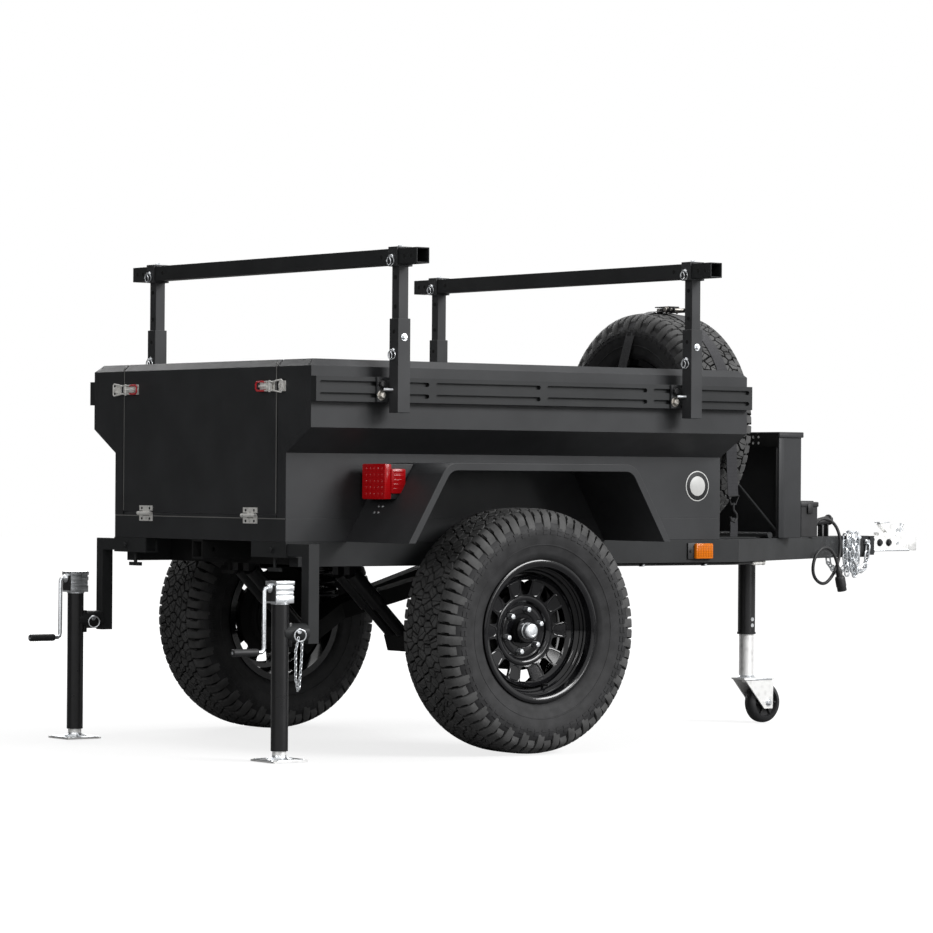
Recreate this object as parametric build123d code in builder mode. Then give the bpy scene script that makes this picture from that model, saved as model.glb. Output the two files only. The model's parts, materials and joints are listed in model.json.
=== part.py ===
from build123d import *
import os
from math import atan2, cos, degrees, hypot, pi, radians, tan

os.makedirs("parts", exist_ok=True)

# Millimetres. +X forward to the coupler, +Y left, Z = 0 on the ground.
# Distances along the trailer are given from the body's rear face and placed by station().

# Wheels
tyre_r = 401.5
tyre_half = 136
bulge_r = 312
shoulder_half = 120
shoulder_r = 383.5
tread_half = 96
tyre_facets = 40
lug_count = 20
lug_gap = 18
lug_depth = 12
wheel_y = 733.6
axle_x = 779
rim_half = 114.5
flange_r = 233.5
flange_t = 9
bead_r = 218.4
well_r = 196
rim_t = 7
disc_face = 16
disc_t = 8
pilot_r = 42
window_count = 10
window_ring_r = 145
window_h = 54
window_wide = 54
window_narrow = 28
hub_cap_end = 41
spindle_r = 22
spindle_fit = 0.5
drum_r = 130
backing_t = 8
drum_gap = 6

# Body shell
body_l = 1838
upper_half = 652
lower_half = 514
frame_top = 690
seam_z = 766
narrow_z = 976
flare_z = 1057
side_top = 1253
rim = 23
wall_t = 24
top_z = side_top + rim
inner_lower = lower_half - wall_t
inner_upper = upper_half - wall_t
inner_lift = wall_t * tan(atan2(upper_half - lower_half, flare_z - narrow_z) / 2)

# Tailgate and its hinges
gate_half = 461
gate_gap = 5
gate_foot = 777
hinge_y = 314
hinge_w = 80
hinge_z = 773
hinge_out = 8
leaf_t = 3
knuckle_r = 6.5
hinge_pin_r = 3
hinge_fit = 0.3
leaf_reach = 26

# Chassis
rail_w = 50
rail_h = 80
rail_z = frame_top - rail_h
rail_start = 50
arm_start = body_l + 87
arm_run = 881
arm_fall = 454
arm_slope = arm_fall / arm_run
arm_across = rail_w * hypot(1, arm_slope)
tongue_half = 38
arm_end = arm_start + (lower_half - tongue_half) / arm_slope
arm_end_inner = arm_end - arm_across / arm_slope
tongue_end = arm_end + 151.3
plate_end = tongue_end + 21
nose_reach = plate_end + 247
nose_r = 43

# Fenders
fender_half = 858
fender_t = 5
fender_lip = 24
arch_foot = 543
arch_rise = 257
arch_slope = 155 / 257
arch_r = 70

# Side track rails and roof rack
track_top = side_top - 33
track_h = 80
track_z = (track_top - track_h, track_top)
track_out = 28
track_slots = 4
rack_x = (297, body_l - 309)
bar = 51
bar_half = 842
bar_wall = 4
sleeve = 48
upright = 38
post_y = upper_half + 68
sleeve_z = (track_z[0] - 34, track_z[1] + 188)
bar_z = sleeve_z[1] + 198
collar_wall = 6
bracket_t = 8

# Rear jacks
jack_x = -90
jack_y = lower_half + 105
jack_tube_r = 27.5
jack_leg_r = 22.5
leg_fit = 0.5
jack_foot = 130
jack_tube_z = (33, 504)
jack_head_top = 570
jack_arm = 40
jack_sleeve = 50
jack_sleeve_y = (lower_half - 196, lower_half + 3)
jack_screw_y = lower_half - 94
jack_pivot_z = 405
grip_reach = 272

# Spare wheel and its deck, front locker
spare_x = body_l + 8 + tyre_half
deck_x = (spare_x - 82, spare_x + 98)
deck_t = 6
spare_z = frame_top + deck_t + tyre_r
strap_t = 3
strap_w = 50
tyre_skin = 0.5
locker_x = (spare_x + 285, spare_x + 391)
locker_half = 345
locker_z = (frame_top, 1067)

# Front jack and caster
front_jack_x = locker_x[1] + 47
front_tube_r = 32
front_leg_r = 27
front_tube_z = (329, 860)
caster_r = 75
caster_trail = 80
caster_w = 50
fork_top = 168
fork_t = 6
kingpin_r = 10
kingpin_fit = 0.4

# Suspension
pivot_x = axle_x + 551
pivot_z = 570
arm_half_t = 28
arm_wide = 500
arm_narrow = 250
arm_waist = 380
tail_wide = 470
tail_narrow = 240
hanger_y = (300, 440)
shock_top = (axle_x - 384, 582)
shock_foot = (axle_x - 169, 372)
spring_x = axle_x + 21
spring_y = 425
spring_r = 58
spring_wire = 14
shock_y = (265, 330)

# Rear receiver
receiver = 64
socket = 51
receiver_l = 194

x_tail = -(nose_reach - grip_reach) / 2


def station(from_tail):
    """X of a point given as a distance ahead of the body's rear face."""
    return x_tail + from_tail


def block(x, y, z, mode=Mode.ADD):
    """Add a box to the open part from its low and high limits."""
    with Locations(((x[0] + x[1]) / 2, (y[0] + y[1]) / 2, (z[0] + z[1]) / 2)):
        Box(x[1] - x[0], y[1] - y[0], z[1] - z[0], mode=mode)


def span(first, last):
    """X limits between two distances from the tail."""
    return station(first), station(last)


def on_side(side, near, far):
    """Y limits on one side of the trailer, side +1 left and -1 right."""
    return min(side * near, side * far), max(side * near, side * far)


def arm_outer(from_tail):
    """Half-width across the outside of the A-frame at a distance from the tail."""
    return lower_half - arm_slope * (from_tail - arm_start)


def arm_inner(from_tail):
    return arm_outer(from_tail) - arm_across


def wall_inside():
    """YZ points up the inside of the left wall, above the floor."""
    return [
        (inner_lower, seam_z),
        (inner_lower, narrow_z + inner_lift),
        (inner_upper, flare_z + inner_lift),
        (inner_upper, top_z),
    ]


def rim_cut(from_tail, inward):
    """XZ triangle that bevels the top rim on an end face."""
    x = station(from_tail)
    return [(x, side_top), (x, top_z), (x + inward * rim, top_z)]


def arch(inset, drop):
    """XZ outline of the fender moved inward by inset, its open foot lowered by drop."""
    foot = arch_foot - inset * hypot(1, arch_slope) + arch_slope * drop
    crown_z = frame_top + arch_rise - inset
    crown = foot - arch_slope * (arch_rise - inset + drop)
    return [
        (station(axle_x - foot), frame_top - drop),
        (station(axle_x - crown), crown_z),
        (station(axle_x + crown), crown_z),
        (station(axle_x + foot), frame_top - drop),
    ]


def arch_rear(z):
    """Distance from the tail of the fender's sloping rear face at a height."""
    return axle_x - arch_foot + arch_slope * (z - frame_top)


def save(piece, label):
    piece.part.label = label
    export_step(piece.part, f"parts/{label}.step")


sides = ((1, "left"), (-1, "right"))

# Chassis: two rails, two tongue arms, cross members and the tongue tube
with BuildPart() as frame_rails:
    for side, _ in sides:
        block(span(rail_start, arm_start), on_side(side, lower_half - rail_w, lower_half), (rail_z, frame_top))
save(frame_rails, "frame_rails")

with BuildPart() as tongue_arms:
    for side, _ in sides:
        with BuildSketch(Plane.XY.offset(rail_z)):
            with BuildLine():
                Polyline(
                    (station(arm_start), side * lower_half),
                    (station(arm_end), side * tongue_half),
                    (station(arm_end_inner), side * tongue_half),
                    (station(arm_start), side * (lower_half - arm_across)),
                    close=True,
                )
            make_face()
        extrude(amount=rail_h)
save(tongue_arms, "tongue_arms")

# Cross member stations from the tail: (start, end)
cross_members = (
    (receiver_l, receiver_l + rail_w),
    (shock_top[0] - 25, shock_top[0] + 25),
    (spring_x - 50, spring_x + 50),
    (pivot_x - 40, pivot_x + 40),
    (arm_start - 75, arm_start - 15),
)
with BuildPart() as crossmembers:
    for start, end in cross_members:
        half = lower_half - rail_w
        block(span(start, end), (-half, half), (rail_z, frame_top))
save(crossmembers, "crossmembers")

with BuildPart() as tongue_tube:
    block(span(arm_end_inner, tongue_end), (-tongue_half, tongue_half), (rail_z, frame_top))
    block(span(tongue_end, plate_end), (-tongue_half - 8, tongue_half + 8), (rail_z + 8, frame_top))
save(tongue_tube, "tongue_tube")

# Load bed: floor pan, side walls, front wall, rear corners and tailgate
with BuildPart() as bed_floor:
    block(span(0, body_l), (-lower_half, lower_half), (frame_top, seam_z))
save(bed_floor, "bed_floor")

for side, name in sides:
    with BuildPart() as side_wall:
        with BuildSketch(Plane.YZ.offset(station(0))):
            outside = [
                (lower_half, seam_z),
                (lower_half, narrow_z),
                (upper_half, flare_z),
                (upper_half, side_top),
                (upper_half - rim, top_z),
            ]
            with BuildLine():
                Polyline(*[(side * y, z) for y, z in outside + wall_inside()[::-1]], close=True)
            make_face()
        extrude(amount=body_l)
        for from_tail, inward in ((0, 1), (body_l, -1)):
            with BuildSketch(Plane.XZ.offset(-upper_half)):
                with BuildLine():
                    Polyline(*rim_cut(from_tail, inward), close=True)
                make_face()
            extrude(amount=2 * upper_half, mode=Mode.SUBTRACT)
    save(side_wall, f"side_wall_{name}")

with BuildPart() as front_wall:
    with BuildSketch(Plane.YZ.offset(station(body_l - wall_t))):
        with BuildLine():
            Polyline(*wall_inside(), *[(-y, z) for y, z in wall_inside()[::-1]], close=True)
        make_face()
    extrude(amount=wall_t)
    with BuildSketch(Plane.XZ.offset(-upper_half)):
        with BuildLine():
            Polyline(*rim_cut(body_l, -1), close=True)
        make_face()
    extrude(amount=2 * upper_half, mode=Mode.SUBTRACT)
save(front_wall, "front_wall")

with BuildPart() as rear_corners:
    corner_half = gate_half + gate_gap
    for side, _ in sides:
        with BuildSketch(Plane.YZ.offset(station(0))):
            outline = [(corner_half, seam_z), *wall_inside(), (corner_half, top_z)]
            with BuildLine():
                Polyline(*[(side * y, z) for y, z in outline], close=True)
            make_face()
        extrude(amount=wall_t)
    with BuildSketch(Plane.XZ.offset(-upper_half)):
        with BuildLine():
            Polyline(*rim_cut(0, 1), close=True)
        make_face()
    extrude(amount=2 * upper_half, mode=Mode.SUBTRACT)
save(rear_corners, "rear_corners")

with BuildPart() as tailgate_panel:
    block(span(0, wall_t), (-gate_half, gate_half), (gate_foot, top_z))
    with BuildSketch(Plane.XZ.offset(-upper_half)):
        with BuildLine():
            Polyline(*rim_cut(0, 1), close=True)
        make_face()
    extrude(amount=2 * upper_half, mode=Mode.SUBTRACT)
save(tailgate_panel, "tailgate_panel")

# Hinges: outer knuckles and pin on the sill, middle knuckle on the gate
knuckle_l = hinge_w / 4
middle_half = hinge_w / 2 - knuckle_l
knuckle_gap = 1
pin_axis = Plane(origin=(station(-hinge_out), 0, hinge_z), x_dir=(1, 0, 0), z_dir=(0, 1, 0))
with BuildPart() as hinge_sill_leaves:
    for y in (hinge_y, -hinge_y):
        block(span(-leaf_t, 0), (y - hinge_w / 2, y + hinge_w / 2), (hinge_z - leaf_reach, hinge_z - knuckle_r - 2))
        for end in (-1, 1):
            near = y + end * middle_half
            far = y + end * hinge_w / 2
            tab = (min(near, far), max(near, far))
            block(span(-leaf_t, 0), tab, (hinge_z - knuckle_r - 2, hinge_z))
            with BuildSketch(pin_axis.offset(tab[0])):
                Circle(knuckle_r)
            extrude(amount=knuckle_l)
        with BuildSketch(pin_axis.offset(y - hinge_w / 2)):
            Circle(hinge_pin_r)
        extrude(amount=hinge_w)
save(hinge_sill_leaves, "hinge_sill_leaves")

with BuildPart() as tailgate_hinge_leaves:
    for y in (hinge_y, -hinge_y):
        low = hinge_z + knuckle_r + 2
        block(span(-leaf_t, 0), (y - hinge_w / 2, y + hinge_w / 2), (low, hinge_z + leaf_reach))
        half = middle_half - knuckle_gap
        block(span(-leaf_t, 0), (y - half, y + half), (gate_foot, low))
        with BuildSketch(pin_axis.offset(y - half)):
            Circle(knuckle_r)
        extrude(amount=2 * half)
        block(span(-hinge_out / 2, 0), (y - half, y + half), (hinge_z + 4, gate_foot + 2))
        with BuildSketch(pin_axis.offset(y - half)):
            Circle(hinge_pin_r + hinge_fit)
        extrude(amount=2 * half, mode=Mode.SUBTRACT)
save(tailgate_hinge_leaves, "tailgate_hinge_leaves")

# Toggle latches: base, lever and bail on the gate, keeper on the corner
latch_z = side_top - 63
with BuildPart() as tailgate_latches:
    for side, _ in sides:
        block(span(-4, 0), on_side(side, gate_half - 105, gate_half - 7), (latch_z - 22, latch_z + 22))
        block(span(-22, -4), on_side(side, gate_half - 99, gate_half - 13), (latch_z - 12, latch_z + 12))
        block(span(-14, -10), on_side(side, gate_half - 21, gate_half + 53), (latch_z - 19, latch_z + 19))
        eye = on_side(side, gate_half + 25, gate_half + 47)
        block(span(-14, -10), eye, (latch_z - 14, latch_z + 14), mode=Mode.SUBTRACT)
save(tailgate_latches, "tailgate_latches")

with BuildPart() as latch_keepers:
    for side, _ in sides:
        block(span(-4, 0), on_side(side, gate_half + 13, gate_half + 51), (latch_z - 18, latch_z + 18))
        block(span(-19, -4), on_side(side, gate_half + 32, gate_half + 40), (latch_z - 8, latch_z + 8))
save(latch_keepers, "latch_keepers")

# Fenders
for side, name in sides:
    with BuildPart() as fender:
        shells = (
            (0, lower_half, fender_half, 0, Mode.ADD),
            (fender_t, lower_half, fender_half - fender_t, 1, Mode.SUBTRACT),
            (fender_lip, fender_half - fender_t, fender_half, 1, Mode.SUBTRACT),
        )
        for inset, near, far, drop, how in shells:
            with BuildSketch(Plane.XZ.offset(-on_side(side, near, far)[1])) as outline:
                with BuildLine():
                    Polyline(*arch(inset, drop), close=True)
                make_face()
                fillet(outline.vertices().group_by(Axis.Y)[-1], arch_r - inset)
            extrude(amount=far - near, mode=how)
    save(fender, f"fender_{name}")

# Tail lamps on the fenders' rear slope, and side markers on the rails
lamp_y = (lower_half + 37, lower_half + 161)
lamp_z = (829, 943)
lamp_x = 280
lens_t = 6
with BuildPart() as tail_lamp_housings:
    for side, _ in sides:
        with BuildSketch(Plane.XZ.offset(-on_side(side, *lamp_y)[1])):
            with BuildLine():
                Polyline(
                    (station(lamp_x), lamp_z[0]),
                    (station(lamp_x), lamp_z[1]),
                    (station(arch_rear(lamp_z[1])), lamp_z[1]),
                    (station(arch_rear(lamp_z[0])), lamp_z[0]),
                    close=True,
                )
            make_face()
        extrude(amount=lamp_y[1] - lamp_y[0])
save(tail_lamp_housings, "tail_lamp_housings")

with BuildPart() as tail_lamp_lenses:
    for side, _ in sides:
        block(
            span(lamp_x - lens_t, lamp_x),
            on_side(side, lamp_y[0] + 6, lamp_y[1] - 6),
            (lamp_z[0] + 6, lamp_z[1] - 6),
        )
save(tail_lamp_lenses, "tail_lamp_lenses")

with BuildPart() as marker_lamps:
    for side, _ in sides:
        base = span(body_l - 150, body_l - 42)
        lens = span(body_l - 120, body_l - 46)
        block(base, on_side(side, lower_half, lower_half + 6), (rail_z + 12, frame_top - 11))
        block(lens, on_side(side, lower_half + 6, lower_half + 18), (rail_z + 16, frame_top - 15))
save(marker_lamps, "marker_lamps")

# Slotted track rails and the rack they carry
with BuildPart() as track_rails:
    for side, _ in sides:
        block(span(0, body_l), on_side(side, upper_half, upper_half + track_out), track_z)
        face = on_side(side, upper_half + track_out - 12, upper_half + track_out)[1]
        with BuildSketch(Plane.XZ.offset(-face)):
            with Locations((station(body_l / 2), sum(track_z) / 2)):
                with GridLocations(body_l / track_slots, 38, track_slots, 2):
                    SlotOverall(body_l / track_slots - 28, 14)
        extrude(amount=12, mode=Mode.SUBTRACT)
save(track_rails, "track_rails")

track_face = upper_half + track_out
with BuildPart() as rack_sleeves:
    for x in rack_x:
        for side, _ in sides:
            block(span(x - 64, x + 32), on_side(side, track_face, track_face + bracket_t), track_z)
            block(
                span(x - sleeve / 2, x + sleeve / 2),
                on_side(side, track_face + bracket_t, post_y - sleeve / 2),
                (track_z[0] + 10, track_z[1] - 10),
            )
            with BuildSketch(Plane.XY.offset(sleeve_z[0])):
                with Locations((station(x), side * post_y)):
                    Rectangle(sleeve, sleeve)
                    Rectangle(upright, upright, mode=Mode.SUBTRACT)
            extrude(amount=sleeve_z[1] - sleeve_z[0])
save(rack_sleeves, "rack_sleeves")

collar = bar + 2 * collar_wall
with BuildPart() as rack_uprights:
    for x in rack_x:
        for side, _ in sides:
            half = upright / 2
            y_mid = side * post_y
            block(
                (station(x) - half, station(x) + half),
                (y_mid - half, y_mid + half),
                (sleeve_z[0] + 30, bar_z - collar / 2),
            )
            with BuildSketch(Plane.XZ.offset(-(y_mid + sleeve / 2))):
                with Locations((station(x), bar_z)):
                    Rectangle(collar, collar)
                    Rectangle(bar, bar, mode=Mode.SUBTRACT)
            extrude(amount=sleeve)
save(rack_uprights, "rack_uprights")

with BuildPart() as rack_bars:
    with BuildSketch(Plane.XZ.offset(-bar_half)):
        for x in rack_x:
            with Locations((station(x), bar_z)):
                Rectangle(bar, bar)
                Rectangle(bar - 2 * bar_wall, bar - 2 * bar_wall, mode=Mode.SUBTRACT)
    extrude(amount=2 * bar_half)
save(rack_bars, "rack_bars")

# Road wheels and spare: profile points are (axial distance outward from the tyre centre, radius)
rim_profile = [
    (rim_half, flange_r),
    (rim_half - flange_t, flange_r),
    (rim_half - flange_t, bead_r),
    (70, 214),
    (46, well_r),
    (-20, well_r),
    (-60, 214),
    (-rim_half + flange_t, bead_r),
    (-rim_half + flange_t, flange_r),
    (-rim_half, flange_r),
    (-rim_half, bead_r - rim_t),
    (-62, 214 - rim_t),
    (-22, well_r - rim_t),
    (26, well_r - rim_t),
    (30, 165),
    (22, 122),
    (10, 98),
    (disc_face - disc_t, 88),
    (disc_face - disc_t, pilot_r),
    (disc_face, pilot_r),
    (disc_face, 86),
    (18, 95),
    (30, 119),
    (38, 165),
    (34, well_r - rim_t),
    (48, well_r - rim_t),
    (72, 214 - rim_t),
    (rim_half, bead_r - rim_t),
]
bead_face = rim_half - flange_t
bead_fit = 1
bulge_flat = 6
# Tyre bands outward from the centre plane: (start, start radius, end, end radius)
tyre_bands = (
    (0, tyre_r, tread_half, tyre_r),
    (tread_half, tyre_r, shoulder_half, shoulder_r),
    (shoulder_half, shoulder_r, tyre_half, bulge_r + bulge_flat),
)
# Wheel window: (radial, sideways) corners, wider towards the rim
window_outline = (
    (window_h / 2, -window_wide / 2),
    (window_h / 2, window_wide / 2),
    (-window_h / 2, window_narrow / 2),
    (-window_h / 2, -window_narrow / 2),
)
wheel_z = tyre_r
# Wheels: (label, centre, outward direction, sketch normal)
wheels = (
    ("left", (station(axle_x), wheel_y, wheel_z), (0, 1, 0), (1, 0, 0)),
    ("right", (station(axle_x), -wheel_y, wheel_z), (0, -1, 0), (-1, 0, 0)),
    ("spare", (station(spare_x), 0, spare_z), (1, 0, 0), (0, -1, 0)),
)


def facet_lean(narrowing, rise):
    """Taper in degrees of a tyre band's facets."""
    return degrees(atan2(narrowing * cos(pi / tyre_facets), rise))


with BuildPart() as bead_recess:
    with BuildSketch(Plane.XY.offset(-tyre_half)):
        RegularPolygon(bulge_r - bulge_flat, tyre_facets)
    recess = tyre_half - bead_face
    extrude(amount=recess, taper=facet_lean(bulge_r - bulge_flat - flange_r - bead_fit, recess))
    mirror(about=Plane.XY)

with BuildPart() as tyre_form:
    for start, start_r, end, end_r in tyre_bands:
        with BuildSketch(Plane.XY.offset(start)):
            RegularPolygon(start_r, tyre_facets)
        extrude(amount=end - start, taper=facet_lean(start_r - end_r, end - start))
    mirror(about=Plane.XY)
    add(bead_recess.part, mode=Mode.SUBTRACT)
    with BuildSketch(Plane.XY.offset(-bead_face)):
        RegularPolygon(bead_r + bead_fit, tyre_facets)
    extrude(amount=2 * bead_face, mode=Mode.SUBTRACT)
    for way in (1, -1):
        first = 180 / tyre_facets + (way - 1) * 90 / lug_count
        with Locations(Plane.XY.offset(way * tyre_half)):
            with PolarLocations(tyre_r, lug_count, start_angle=first):
                Box(2 * lug_depth, lug_gap, 2 * (tyre_half - tread_half), mode=Mode.SUBTRACT)

for name, centre, outward, normal in wheels:
    section = Plane(origin=centre, x_dir=outward, z_dir=normal)
    axis = Axis(centre, outward)
    face = Plane(origin=centre, z_dir=outward)
    with BuildPart() as tyre:
        with Locations(face):
            add(tyre_form.part)
    save(tyre, f"tyre_{name}")

    with BuildPart() as wheel_rim:
        with BuildSketch(section):
            with BuildLine():
                Polyline(*rim_profile, close=True)
            make_face()
        revolve(axis=axis)
        with BuildSketch(face) as windows:
            with PolarLocations(window_ring_r, window_count):
                Polygon(*window_outline)
            fillet(windows.vertices(), 12)
        extrude(amount=60, mode=Mode.SUBTRACT)
    save(wheel_rim, f"rim_{name}")

spindle_end = -12
drum_open = -rim_half - 8
for name, centre, outward, normal in wheels[:2]:
    section = Plane(origin=centre, x_dir=outward, z_dir=normal)
    axis = Axis(centre, outward)
    with BuildPart() as hub:
        with BuildSketch(section):
            with BuildLine():
                back = disc_face - disc_t
                Polyline(
                    (hub_cap_end, 0),
                    (hub_cap_end, 30),
                    (hub_cap_end - 6, pilot_r - 2),
                    (back, pilot_r - 2),
                    (back, drum_r),
                    (drum_open, drum_r),
                    (drum_open, drum_r - 12),
                    (back - 14, drum_r - 12),
                    (back - 14, 38),
                    (-60, 38),
                    (-60, spindle_r + spindle_fit),
                    (spindle_end + 6, spindle_r + spindle_fit),
                    (spindle_end + 6, 0),
                    close=True,
                )
            make_face()
        revolve(axis=axis)
    save(hub, f"hub_{name}")

arm_face = 560
with BuildPart() as axle_spindles:
    for name, centre, outward, normal in wheels[:2]:
        section = Plane(origin=centre, x_dir=outward, z_dir=normal)
        root = arm_face - wheel_y
        plate = drum_open - drum_gap
        with BuildSketch(section):
            with BuildLine():
                Polyline(
                    (root, 0),
                    (root, spindle_r + 18),
                    (plate - backing_t, spindle_r + 18),
                    (plate - backing_t, drum_r - 4),
                    (plate, drum_r - 4),
                    (plate, spindle_r),
                    (spindle_end, spindle_r),
                    (spindle_end, 0),
                    close=True,
                )
            make_face()
        revolve(axis=Axis(centre, outward))
save(axle_spindles, "axle_spindles")

# Suspension: wishbone trailing arms in the plane through pivot and hub, springs and shocks
drop = wheel_z - pivot_z
reach = hypot(pivot_x - axle_x, drop)
arm_plane = Plane(
    origin=(station(pivot_x), 0, pivot_z), x_dir=(axle_x - pivot_x, 0, drop), z_dir=(-drop, 0, axle_x - pivot_x)
)
with BuildPart() as trailing_arms:
    for side, _ in sides:
        with BuildSketch(arm_plane.offset(-arm_half_t)):
            with BuildLine():
                corners = [(-40, arm_wide), (reach + 60, arm_wide), (reach + 190, tail_wide)]
                corners += [(reach + 190, tail_narrow), (reach + 130, tail_narrow)]
                corners += [(reach - 90, arm_waist), (40, arm_narrow), (-40, arm_narrow)]
                flip = -side
                Polyline(*[(x, flip * y) for x, y in corners], close=True)
            make_face()
            with BuildLine():
                window = [(60, arm_wide - 60), (reach - 130, arm_wide - 60), (60, arm_narrow + 80)]
                Polyline(*[(x, flip * y) for x, y in window], close=True)
            make_face(mode=Mode.SUBTRACT)
        extrude(amount=2 * arm_half_t)
        with BuildSketch(Plane.XZ.offset(-on_side(side, arm_wide, arm_face)[1])):
            with Locations((station(axle_x), wheel_z)):
                Circle(60)
        extrude(amount=arm_face - arm_wide)
        block(
            span(pivot_x - 22, pivot_x + 22),
            on_side(side, *hanger_y),
            (pivot_z, rail_z),
        )
save(trailing_arms, "trailing_arms")

spring_seat = 480
with BuildPart() as coil_springs:
    for side, _ in sides:
        with BuildSketch(Plane.XY.offset(spring_seat)):
            with Locations((station(spring_x), side * spring_y)):
                Circle(spring_r)
                Circle(spring_r - spring_wire, mode=Mode.SUBTRACT)
        extrude(amount=rail_z - spring_seat)
save(coil_springs, "coil_springs")

shock_run = hypot(shock_foot[0] - shock_top[0], shock_foot[1] - shock_top[1])
with BuildPart() as shock_absorbers:
    for side, _ in sides:
        for y in shock_y:
            line = Plane(
                origin=(station(shock_top[0]), side * y, shock_top[1]),
                x_dir=(0, 1, 0),
                z_dir=(shock_foot[0] - shock_top[0], 0, shock_foot[1] - shock_top[1]),
            )
            for start, end, radius in ((0, shock_run / 2, 26), (shock_run / 2, shock_run, 20)):
                with BuildSketch(line.offset(start)):
                    Circle(radius)
                extrude(amount=end - start)
            hanger = span(shock_top[0] - 23, shock_top[0] + 23)
            block(hanger, on_side(side, y - 16, y + 16), (rail_z - 34, rail_z))
    with BuildSketch(arm_plane.offset(-arm_half_t)):
        with Locations((reach + 150, 0)):
            Rectangle(300, 2 * lower_half)
    extrude(amount=120, mode=Mode.SUBTRACT)
save(shock_absorbers, "shock_absorbers")

# Rear receivers: centre hitch socket and the two jack sleeves, each with a clamp screw below
receiver_z = frame_top - receiver / 2
pin_hole_r = 8
pin_hole_x = 45
screw_r = 6
with BuildPart() as receiver_tube:
    with BuildSketch(Plane.YZ.offset(station(0))):
        with Locations((0, receiver_z)):
            Rectangle(receiver, receiver)
            Rectangle(socket, socket, mode=Mode.SUBTRACT)
    extrude(amount=receiver_l)
    with BuildSketch(Plane.XZ.offset(-receiver)):
        with Locations((station(pin_hole_x), receiver_z)):
            Circle(pin_hole_r)
    extrude(amount=2 * receiver, mode=Mode.SUBTRACT)
    screw_z = receiver_z - receiver / 2
    with BuildSketch(Plane.XY.offset(screw_z - 40)):
        with Locations((station(130), 0)):
            Circle(screw_r)
    extrude(amount=40)
    block(span(130 - screw_r, 130 + screw_r), (-36, 36), (screw_z - 50, screw_z - 38))
save(receiver_tube, "receiver_tube")

sleeve_mid = frame_top - jack_sleeve / 2
with BuildPart() as jack_sleeves:
    for side, _ in sides:
        with BuildSketch(Plane.XZ.offset(-on_side(side, *jack_sleeve_y)[1])):
            with Locations((station(jack_sleeve / 2), sleeve_mid)):
                Rectangle(jack_sleeve, jack_sleeve)
                Rectangle(jack_arm, jack_arm, mode=Mode.SUBTRACT)
        extrude(amount=jack_sleeve_y[1] - jack_sleeve_y[0])
        screw_z = frame_top - jack_sleeve
        with BuildSketch(Plane.XY.offset(screw_z - 36)):
            with Locations((station(jack_sleeve / 2), side * jack_screw_y)):
                Circle(screw_r)
        extrude(amount=36)
        block(
            span(jack_sleeve / 2 - screw_r, jack_sleeve / 2 + screw_r),
            on_side(side, jack_screw_y - 32, jack_screw_y + 32),
            (screw_z - 46, screw_z - 34),
        )
save(jack_sleeves, "jack_sleeves")

leg_x = (jack_sleeve / 2 - jack_arm / 2, jack_sleeve / 2 + jack_arm / 2)
with BuildPart() as jack_arms:
    for side, _ in sides:
        outer = jack_y + jack_arm / 2
        inner = jack_sleeve_y[0] + 12
        block(span(*leg_x), on_side(side, inner, outer), (sleeve_mid - jack_arm / 2, sleeve_mid + jack_arm / 2))
        block(span(*leg_x), on_side(side, outer - jack_arm, outer), (jack_pivot_z - 35, sleeve_mid))
        with BuildSketch(Plane.YZ.offset(station(jack_x))):
            with Locations((side * jack_y, jack_pivot_z)):
                Circle(30)
        extrude(amount=leg_x[0] - jack_x)
        with BuildSketch(Plane.XY.offset(jack_pivot_z - 60)):
            with Locations((station(jack_x), side * jack_y)):
                Circle(jack_tube_r)
        extrude(amount=120, mode=Mode.SUBTRACT)
save(jack_arms, "jack_arms")

with BuildPart() as rear_jack_tubes:
    for side, _ in sides:
        with BuildSketch(Plane.XY.offset(jack_tube_z[0])):
            with Locations((station(jack_x), side * jack_y)):
                Circle(jack_tube_r)
                Circle(jack_leg_r + leg_fit, mode=Mode.SUBTRACT)
        extrude(amount=jack_tube_z[1] - jack_tube_z[0])
save(rear_jack_tubes, "rear_jack_tubes")

crank_top = 548
crank_foot = 346
crank_x = -150
with BuildPart() as rear_jack_heads:
    for side, _ in sides:
        mid = side * jack_y
        block(span(jack_x - 36, jack_x + 34), (mid - 31, mid + 31), (jack_tube_z[1], jack_head_top))
        with BuildSketch(Plane.YZ.offset(station(crank_x - 7))):
            with Locations((mid, crank_top)):
                Circle(8)
        extrude(amount=jack_x - crank_x)
        block(span(crank_x - 7, crank_x + 7), (mid - 8, mid + 8), (crank_foot - 8, crank_top + 8))
        with BuildSketch(Plane.YZ.offset(station(-grip_reach))):
            with Locations((mid, crank_foot)):
                Circle(12)
        extrude(amount=grip_reach + crank_x - 7)
save(rear_jack_heads, "rear_jack_heads")

for side, name in sides:
    with BuildPart() as rear_jack_leg:
        with Locations((station(jack_x), side * jack_y, 0)):
            Box(jack_foot, jack_foot, 6, align=(Align.CENTER, Align.CENTER, Align.MIN))
            Cylinder(jack_leg_r, 460, align=(Align.CENTER, Align.CENTER, Align.MIN))
    save(rear_jack_leg, f"rear_jack_leg_{name}")

# Front jack in a cross plate between the tongue arms, with a trailing caster
with BuildPart() as jack_crossplate:
    rear_x = front_jack_x - 45
    front_x = front_jack_x + 45
    with BuildSketch(Plane.XY.offset(rail_z + 10)):
        with BuildLine():
            Polyline(
                (station(rear_x), arm_inner(rear_x)),
                (station(front_x), arm_inner(front_x)),
                (station(front_x), -arm_inner(front_x)),
                (station(rear_x), -arm_inner(rear_x)),
                close=True,
            )
        make_face()
        with Locations((station(front_jack_x), 0)):
            Circle(front_tube_r, mode=Mode.SUBTRACT)
    extrude(amount=rail_h - 20)
save(jack_crossplate, "jack_crossplate")

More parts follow.
